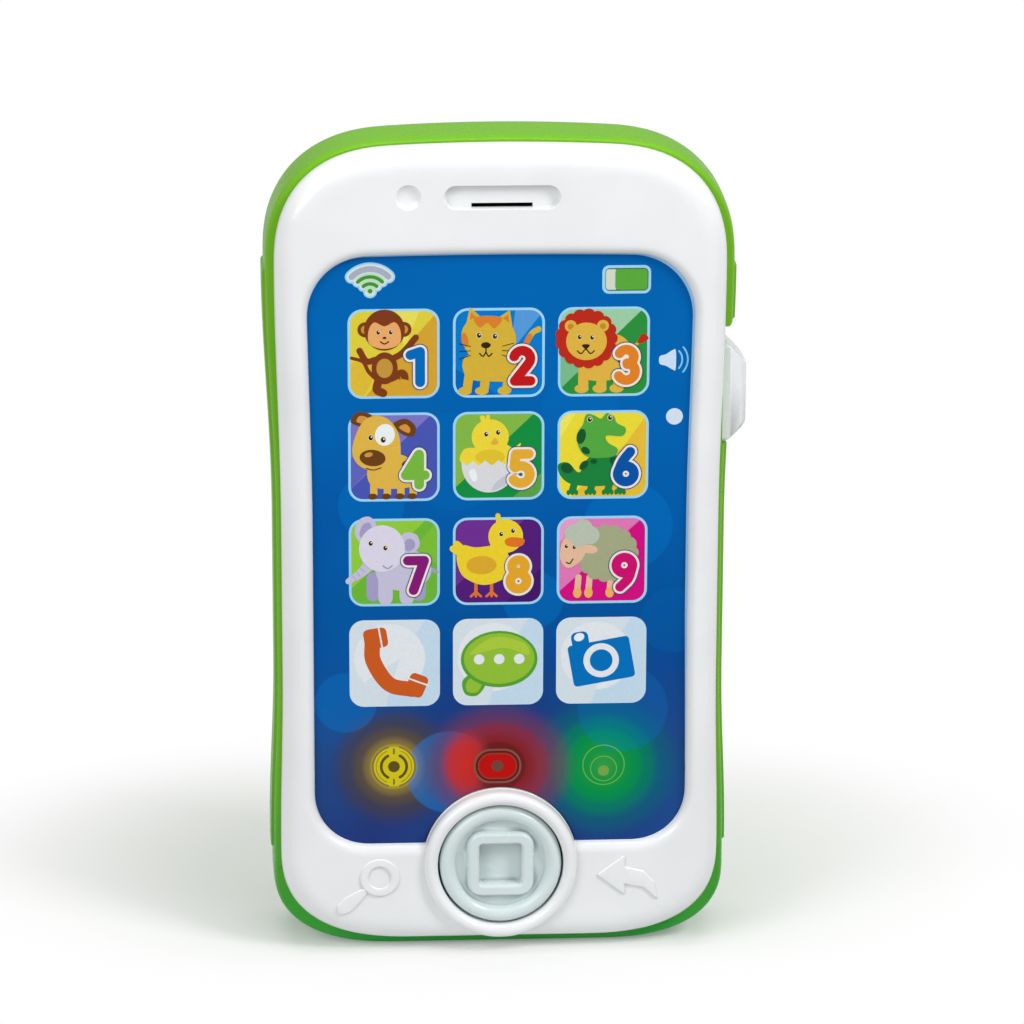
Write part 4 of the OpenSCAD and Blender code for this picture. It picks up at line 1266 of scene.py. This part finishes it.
def duck():
    down = ("duck_down", (240, 212, 48))
    wing = ("duck_wing", (224, 172, 48))
    bill = ("duck_bill", (226, 118, 40))
    art = key(8, ("violet", (84, 30, 122)), [
        (("violet_light", (112, 48, 148)), [(-9, 9), (6, 9), (-9, -6)]),
        (("violet_deep", (70, 22, 106)), [(9, -9), (9, 0), (0, -9)])])
    for x in (-4.0, -1.2):
        art.line(bill, [(x, -3.4), (x, -5.8)], 0.6)
        for foot in (-0.9, 0, 0.9):
            art.line(bill, [(x, -5.7), (x + foot, -6.5)], 0.45)
    art.line(down, [(-0.1, 8.4), (0.1, 6.8)], 0.9)
    art.line(down, [(-7.4, 3.2), (-5.4, 1.2)], 1.3)
    art.line(down, [(-8.1, 2.4), (-5.8, 0.8)], 1.2)
    art.blob(down, [(-7.4, 1.4), (-6.4, 3.0), (-4.0, 2.6), (-0.6, 2.8), (1.2, 1.6), (2.2, -0.6),
                    (1.0, -3.2),
                    (-2.6, -4.4), (-6.0, -3.0), (-7.2, -0.8)])
    art.dot(down, (1.3, 4.6), 3.1, 3.1)
    art.line(down, [(-0.2, 2.8), (0.6, 0.6)], 2.6)
    art.dot(wing, (-3.0, -0.7), 2.7, 1.7)
    art.blob(bill, [(1.2, 3.9), (2.4, 4.4), (4.6, 4.0), (4.2, 2.8), (2.6, 2.6), (1.4, 3.0)])
    art.eyes(0.34, (0.5, 5.0), (2.6, 5.6))
    numeral(art, 8, ("numeral_gold", (232, 168, 44)), (3.6, -2.4))
    art.finish()


def sheep():
    wool = ("wool", (166, 172, 134))
    cap = ("wool_pale", (188, 198, 180))
    skin = ("sheep_skin", (232, 190, 158))
    hoof = ("sheep_hoof", (238, 182, 96))
    art = key(9, ("magenta", (214, 14, 132)), [
        (("rose", (228, 122, 186)), [(-9, 9), (8.6, 9), (-9, -7)]),
        (("rose_light", (236, 158, 206)), [(-9, 9), (-2, 9), (-9, 2)])])
    for x in (-4.2, -2.2, 1.6):
        art.line(skin, [(x, -3.2), (x - 0.2, -5.6)], 1.1)
        art.dot(hoof, (x - 0.2, -6.1), 0.75, 0.95)
    tufts = 15
    for i in range(tufts):
        a = 2 * math.pi * i / tufts
        art.dot(wool, (0.9 + 4.3 * math.cos(a), 1.2 + 4.0 * math.sin(a)), 1.35, n=18)
    art.dot(wool, (0.9, 1.2), 4.8, 4.5)
    art.blob(skin, [(-7.6, 1.2), (-6.8, 4.0), (-4.6, 4.8), (-2.8, 3.0), (-3.4, 0.4), (-5.6, -1.4),
                    (-7.0, -0.8)])
    art.dot(skin, (-2.2, 2.0), 1.4, 0.8, -8)
    for x, z, r in ((-5.2, 5.0, 1.6), (-3.4, 5.8, 1.7), (-2.2, 4.6, 1.7), (-3.8, 4.2, 1.7)):
        art.dot(cap, (x, z), r)
    art.eyes(0.3, (-6.4, 2.6), (-5.0, 2.4))
    art.line(DARK, [(-6.4, -0.4), (-5.8, -0.6), (-5.2, 0.2)], 0.2)
    numeral(art, 9, ("numeral_pink", (206, 16, 112)), (4.0, -2.3))
    art.finish()


ICE = ("ice", (216, 228, 236))
ICE_LIGHT = ("ice_light", (230, 236, 240))
ICE_BLUE = ("ice_blue", (198, 222, 240))


def plain_tile(name, column):
    """A pale key without a number."""
    art = Print(name, (COLUMNS[column], ROWS[3]))
    border = soft_box((0, 0), TILE, TILE, 2.6, 6)
    art.fill(ICE, soft_box((0, 0), TILE, TILE, 2.6, 8))
    art.fill(ICE_BLUE, clip_convex([(6, 9), (9, 9), (9, -9), (-7, -9), (1, 1)], border))
    art.dot(ICE_LIGHT, (-0.9, 0.9), 6.4)
    art.fill(ICE, clip_convex([(1, 1), (-9, -6), (-9, -9), (-2, -9)], border))
    return art


def call_key():
    orange = ("handset", (206, 92, 34))
    art = plain_tile("call_key_print", 0)
    spine = smooth_path([(-4.0, 4.0), (-3.8, 0.4), (-1.0, -3.9), (3.2, -5.0)], 8)
    art.fill(orange, ribbon(spine, 2.8))
    art.fill(orange, turned(soft_box((0, 0), 4.2, 3.7, 0.9, 6), 9, (-3.4, 4.7)))
    art.fill(orange, turned(soft_box((0, 0), 4.2, 3.4, 0.9, 6), 68, (3.9, -4.2)))
    art.line(ICE_LIGHT, [(-2.9, 6.9), (-2.2, 2.8)], 0.3)
    art.line(ICE_LIGHT, [(2.0, -2.7), (6.1, -4.3)], 0.3)
    art.finish()


def message_key():
    edge, body = ("bubble_edge", (86, 164, 52)), ("bubble_body", (148, 194, 58))
    art = plain_tile("message_key_print", 1)
    art.blob(edge, [(-6.2, -3.2), (-4.4, -2.2), (-2.2, -3.8), (-3.6, -6.2), (-5.6, -6.2), (-6.4, -4.8)])
    art.blob(body, [(-5.5, -3.5), (-4.4, -2.9), (-2.9, -3.9), (-3.7, -5.6), (-5.2, -5.7), (-5.8, -4.8)])
    art.dot(edge, (0.2, 0.5), 6.9, 5.3)
    art.dot(body, (0.2, 0.6), 6.35, 4.75)
    art.blob(("bubble_light", (172, 206, 62)), [(-5.0, 1.4), (-1, 4.6), (4.4, 3.6), (5.4, 1.2), (1, 2.6)])
    for x in (-3.4, 0.2, 3.8):
        art.dot(ICE_LIGHT, (x, 0.5), 0.95)
    art.finish()


def camera_key():
    blue = ("camera_blue", (2, 114, 190))
    art = plain_tile("camera_key_print", 2)
    art.fill(blue, turned(soft_box((0, -0.2), 11.2, 7.8, 0.7, 5), 10))
    art.fill(blue, turned(soft_box((-3.1, 4.3), 3.1, 3.4, 1.0, 5), 10))
    art.dot(WHITE, (-4.0, 4.4), 0.95, 0.75, 20)
    art.dot(ICE_LIGHT, (0.0, 0.0), 3.2)
    art.dot(blue, (0.0, 0.0), 2.05)
    art.finish()


def status_icons():
    """Signal and battery signs at the top, loudspeaker and dot beside the slider."""
    wifi = Print("signal_icon", (-23.1, 122.6))
    grey = ("icon_grey", (172, 180, 196))
    green = ("icon_green", (68, 150, 58))
    back = ("icon_white", (220, 232, 236))
    bands = [(4.4, 47, 1.05, grey), (3.0, 46, 0.62, green), (1.75, 42, 0.62, green)]
    for border, grow in ((PALE, 1.35), (back, 0.75)):
        for r, spread, width, _ in bands:
            wifi.fill(border, ribbon(arc((0, 0), r, 90 + spread, 90 - spread), width + grow))
        wifi.dot(border, (0, 0.4), 0.55 + grow / 2)
    wifi.fill(("icon_mint", (192, 228, 192)), [(0, -0.35)] + arc((0, 0), 3.7, 136, 44))
    for r, spread, width, colour in bands:
        wifi.fill(colour, ribbon(arc((0, 0), r, 90 + spread, 90 - spread), width))
    wifi.dot(green, (0, 0.45), 0.4)
    wifi.finish()

    battery = Print("charge_icon", (22.0, 124.7))
    battery.fill(PALE, soft_box((0, 0), 8.6, 5.1, 1.2, 6))
    battery.fill(("icon_edge", (70, 110, 60)), soft_box((0.05, 0), 7.6, 4.1, 0.8, 6))
    battery.fill(("icon_pale", (214, 222, 206)), soft_box((-2.6, 0), 2.1, 3.7, 0.6, 5))
    battery.fill(("icon_charge", (92, 172, 62)), soft_box((0.85, 0), 5.7, 3.7, 0.6, 5))
    battery.finish()

    sound = Print("volume_icon", (30.6, 110.1))
    soft = ("icon_sound", (206, 228, 248))
    sound.blob(soft, [(-2.6, -0.7), (-2.6, 0.6), (-1.5, 1.0), (-0.3, 1.75), (0.25, 1.6), (0.25, -1.7),
                      (-0.3, -1.8),
                      (-1.5, -1.1)], 5)
    for r in (2.4, 3.4):
        sound.fill(("icon_waves", (132, 202, 244)), ribbon(arc((-1.0, 0), r, -41, 41, 12), 0.3))
    sound.finish()

    mark = Print("slider_mark", (30.75, 99.75))
    mark.dot(("icon_dot", (214, 228, 246)), (0, 0), 1.5)
    mark.finish()


def light_marks():
    """The printed lamp signs over the three lights."""
    yellow = Print("yellow_light_mark", LIGHTS["yellow"])
    lamp = ("lamp_yellow", (214, 198, 30))
    edge = ("lamp_edge", (134, 118, 70))
    shade_ink = ("lamp_brown", (98, 84, 28))
    yellow.dot(lamp, (0, 0), 3.75)
    for side in (0, 180):
        yellow.fill(edge, ribbon(arc((0, 0), 3.8, side - 74, side + 74, 24), 0.3))
        yellow.fill(("lamp_shade", (170, 154, 34)), ribbon(arc((0, 0), 3.2, side - 66, side + 66, 24), 0.2))
        yellow.fill(shade_ink, ribbon(arc((0, 0), 2.3, side - 62, side + 62, 16), 0.5))
    for z in (-2.9, 2.9):
        yellow.line(edge, [(0, z - 0.4), (0, z + 0.4)], 0.35)
    yellow.dot(shade_ink, (0, 0), 1.05)
    yellow.finish()
    red = Print("red_light_mark", LIGHTS["red"])
    rims = [(8.6, 6.5, 3.1, ("lamp_dim", (126, 90, 76))), (7.9, 5.8, 2.8, ("lamp_dark_red", (116, 22, 16))),
            (7.1, 5.0, 2.4, ("lamp_rim", (134, 66, 54))), (6.6, 4.5, 2.1, ("lamp_red", (192, 18, 14)))]
    for w, h, r, colour in rims:
        red.fill(colour, soft_box((0, 0), w, h, r, 10))
    red.dot(("lamp_hole", (112, 72, 60)), (0, 0), 1.05)
    red.finish()
    green = Print("green_light_mark", LIGHTS["green"])
    line = ("lamp_line", (110, 186, 84))
    green.ring(line, (0, 0.1), 3.75, 0.18)
    green.ring(line, (0, -0.6), 2.35, 0.18)
    green.dot(("lamp_green", (120, 170, 76)), (0, -1.0), 1.0)
    green.finish()


def painted_lip_reflection():
    """Painted reflection: pale ink standing in for the lip's reflection along the film's right and upper
    edges.
    """
    loop = np.array(outline(WINDOW))
    along = np.roll(loop, -1, 0) - np.roll(loop, 1, 0)
    out = np.stack([along[:, 1], -along[:, 0]], 1) / np.linalg.norm(along, axis=1)[:, None]
    # Painted reflection: the band is widest where the edge faces up and to the right, and only above z 34
    # mm.
    lit = np.clip(out @ np.array([0.85, 0.5]), 0, 1) ** 1.5 * np.clip((loop[:, 1] - 34) / 30, 0, 1)
    shown = np.flatnonzero(lit > 0.01)
    first = shown[np.flatnonzero(np.diff(np.append(shown[-1] - len(loop), shown)) > 1)[0]]
    order = (first + np.arange(len(shown))) % len(loop)
    outer, inner = loop + out * 0.02, loop - out * (0.03 + 0.5 * lit)[:, None]
    edge = Print("painted_lip_reflection", (0, 0))
    edge.fill(("painted_reflection_ink", (164, 204, 240)),
              [tuple(q) for q in outer[order]] + [tuple(q) for q in inner[order[::-1]]])
    edge.finish()


def artwork():
    for draw in (monkey, cat, lion, dog, chick, crocodile, elephant, duck, sheep, call_key, message_key,
                 camera_key, status_icons, light_marks, painted_lip_reflection):
        draw()


# ---- CAD nodes that keep their shape ----

# Colour, then roughness, tint and speckle where they differ from plastic()'s own.
CAD_PLASTICS = {
    "spacer_film": ((226, 226, 214), 0.5),
    "circuit_film": ((206, 212, 220), 0.35),
    "inner_plastic": ((230, 230, 226), 0.45),
    "black_plastic": ((28, 28, 30), 0.45, 0.1, 0.06),
    "connector_plastic": ((238, 232, 212), 0.5),
    "capacitor_sleeve": ((34, 44, 92), 0.3, 0.06),
    "lens_yellow": ((240, 204, 60), 0.1),
    "lens_red": ((216, 30, 30), 0.1),
    "lens_green": ((50, 190, 70), 0.1),
    "cone_paper": ((44, 44, 46), 0.6, 0.1, 0.1),
    "wire_red": ((176, 24, 22), 0.4),
    "wire_black": ((26, 26, 28), 0.4),
    "wire_grey": ((178, 178, 184), 0.4),
}
# Colour, then roughness where it differs from metal()'s own.
CAD_METALS = {
    "steel": ((186, 188, 192),),
    "magnet": ((70, 70, 76), 0.5),
    "screw_steel": ((180, 180, 184), 0.3),
    "contact_nickel": ((200, 200, 196), 0.25),
}


def dress_cad_nodes():
    """A material for every CAD node that is still shown, by its slot."""
    finishes = {name: plastic(name, *finish) for name, finish in CAD_PLASTICS.items()}
    finishes.update({name: metal(name, *finish) for name, finish in CAD_METALS.items()})
    finishes["screen_print"] = screen_print("screen_print")
    finishes["board_green"] = board("board_green")
    finishes["cell_can"] = cell_sleeve("cell_can")
    slot_of = {part["node"]: part["material_slot"] for part in frame["record"]["subparts"]}
    for name, node in frame["nodes"].items():
        if node.hide_render:
            continue
        node.data.materials.clear()
        node.data.materials.append(finishes[slot_of[name]])


# ---- studio ----

def camera():
    """A long lens a little above and to the left of the phone."""
    azimuth, elevation, roll = math.radians(-3.5), math.radians(15.5), math.radians(0.2)
    distance, aim = 850.0, Vector((2.603, 0, 79.625))
    pixels_per_mm, frame_pixels, sensor = 5.5505, 1024, 36.0
    back = Vector((math.sin(azimuth) * math.cos(elevation), -math.cos(azimuth) * math.cos(elevation),
                   math.sin(elevation)))
    right = (-back).cross(Vector((0, 0, 1))).normalized()
    up = right.cross(-back)
    turned_right = right * math.cos(roll) + up * math.sin(roll)
    turned_up = up * math.cos(roll) - right * math.sin(roll)
    data = bpy.data.cameras.new("camera")
    data.sensor_width = sensor
    data.lens = pixels_per_mm * distance / frame_pixels * sensor
    data.clip_start, data.clip_end = 0.05, 20
    eye = bpy.data.objects.new("camera", data)
    turn = Matrix((turned_right, turned_up, back)).transposed().to_4x4()
    eye.matrix_world = Matrix.Translation((aim + distance * back) * MM) @ turn
    bpy.context.scene.collection.objects.link(eye)
    bpy.context.scene.camera = eye


def area_light(name, place, target, size, power):
    data = bpy.data.lights.new(name, "AREA")
    data.shape = "RECTANGLE"
    data.size, data.size_y = size
    data.energy = power
    lamp = bpy.data.objects.new(name, data)
    lamp.location = place
    lamp.rotation_euler = (Vector(target) - Vector(place)).to_track_quat("-Z", "Y").to_euler()
    bpy.context.scene.collection.objects.link(lamp)


def floor():
    """A white sweep: lit paper round and behind the phone that turns evenly bright farther out."""
    size = 6.0
    mesh = bpy.data.meshes.new("floor")
    corners = [(-size, -size, 0), (size, -size, 0), (size, size, 0), (-size, size, 0)]
    mesh.from_pydata(corners, [], [(0, 1, 2, 3)])
    ground = bpy.data.objects.new("floor", mesh)
    bpy.context.scene.collection.objects.link(ground)
    look = Look("floor_paper", Specular_IOR_Level=0.0)
    look.feed("Roughness", look.spread(look.noise(500, 2), 0.85, 0.95))
    shifted = look.node("ShaderNodeMapping", {"Vector": look.place, "Location": (0, -0.55, 0),
                                              "Scale": (9.5, 13.5, 0)}).outputs["Vector"]
    away = look.node("ShaderNodeVectorMath", {0: shifted}, operation="LENGTH").outputs["Value"]
    far = look.node("ShaderNodeMapRange", {"Value": away, "From Min": 0.45, "From Max": 1.15},
                    interpolation_type="SMOOTHSTEP").outputs["Result"]
    look.feed("Base Color", look.mix(far, (0.84, 0.85, 0.83, 1), (0, 0, 0, 1)))
    look.shader.inputs["Emission Color"].default_value = (1, 1, 1, 1)
    seen = look.node("ShaderNodeLightPath").outputs["Is Camera Ray"]
    look.feed("Emission Strength", look.math("MULTIPLY", far, look.spread(seen, 0.6, 1.0, 0, 1)))
    mesh.materials.append(look.material)


def studio():
    world = bpy.data.worlds.new("studio")
    bpy.context.scene.world = world
    world.use_nodes = True
    sky = world.node_tree.nodes["Background"]
    sky.inputs["Color"].default_value = (1, 1, 1, 1)
    sky.inputs["Strength"].default_value = 0.36
    area_light("key", (0.5, -0.42, 0.62), (0, 0, 0.08), (0.25, 0.3), 3.6)
    area_light("left_fill", (-0.55, -0.55, 0.5), (0, 0, 0.08), (0.4, 0.5), 2.9)
    area_light("top_box", (0.0, 0.02, 0.75), (0, 0, 0.1), (0.6, 0.4), 2.1)
    bpy.context.scene.view_settings.view_transform = "Standard"


camera()
front_cover()
rear_shell()
battery_door()
home_button()
rubber_dome()
slider_knob()
artwork()
dress_cad_nodes()
floor()
studio()
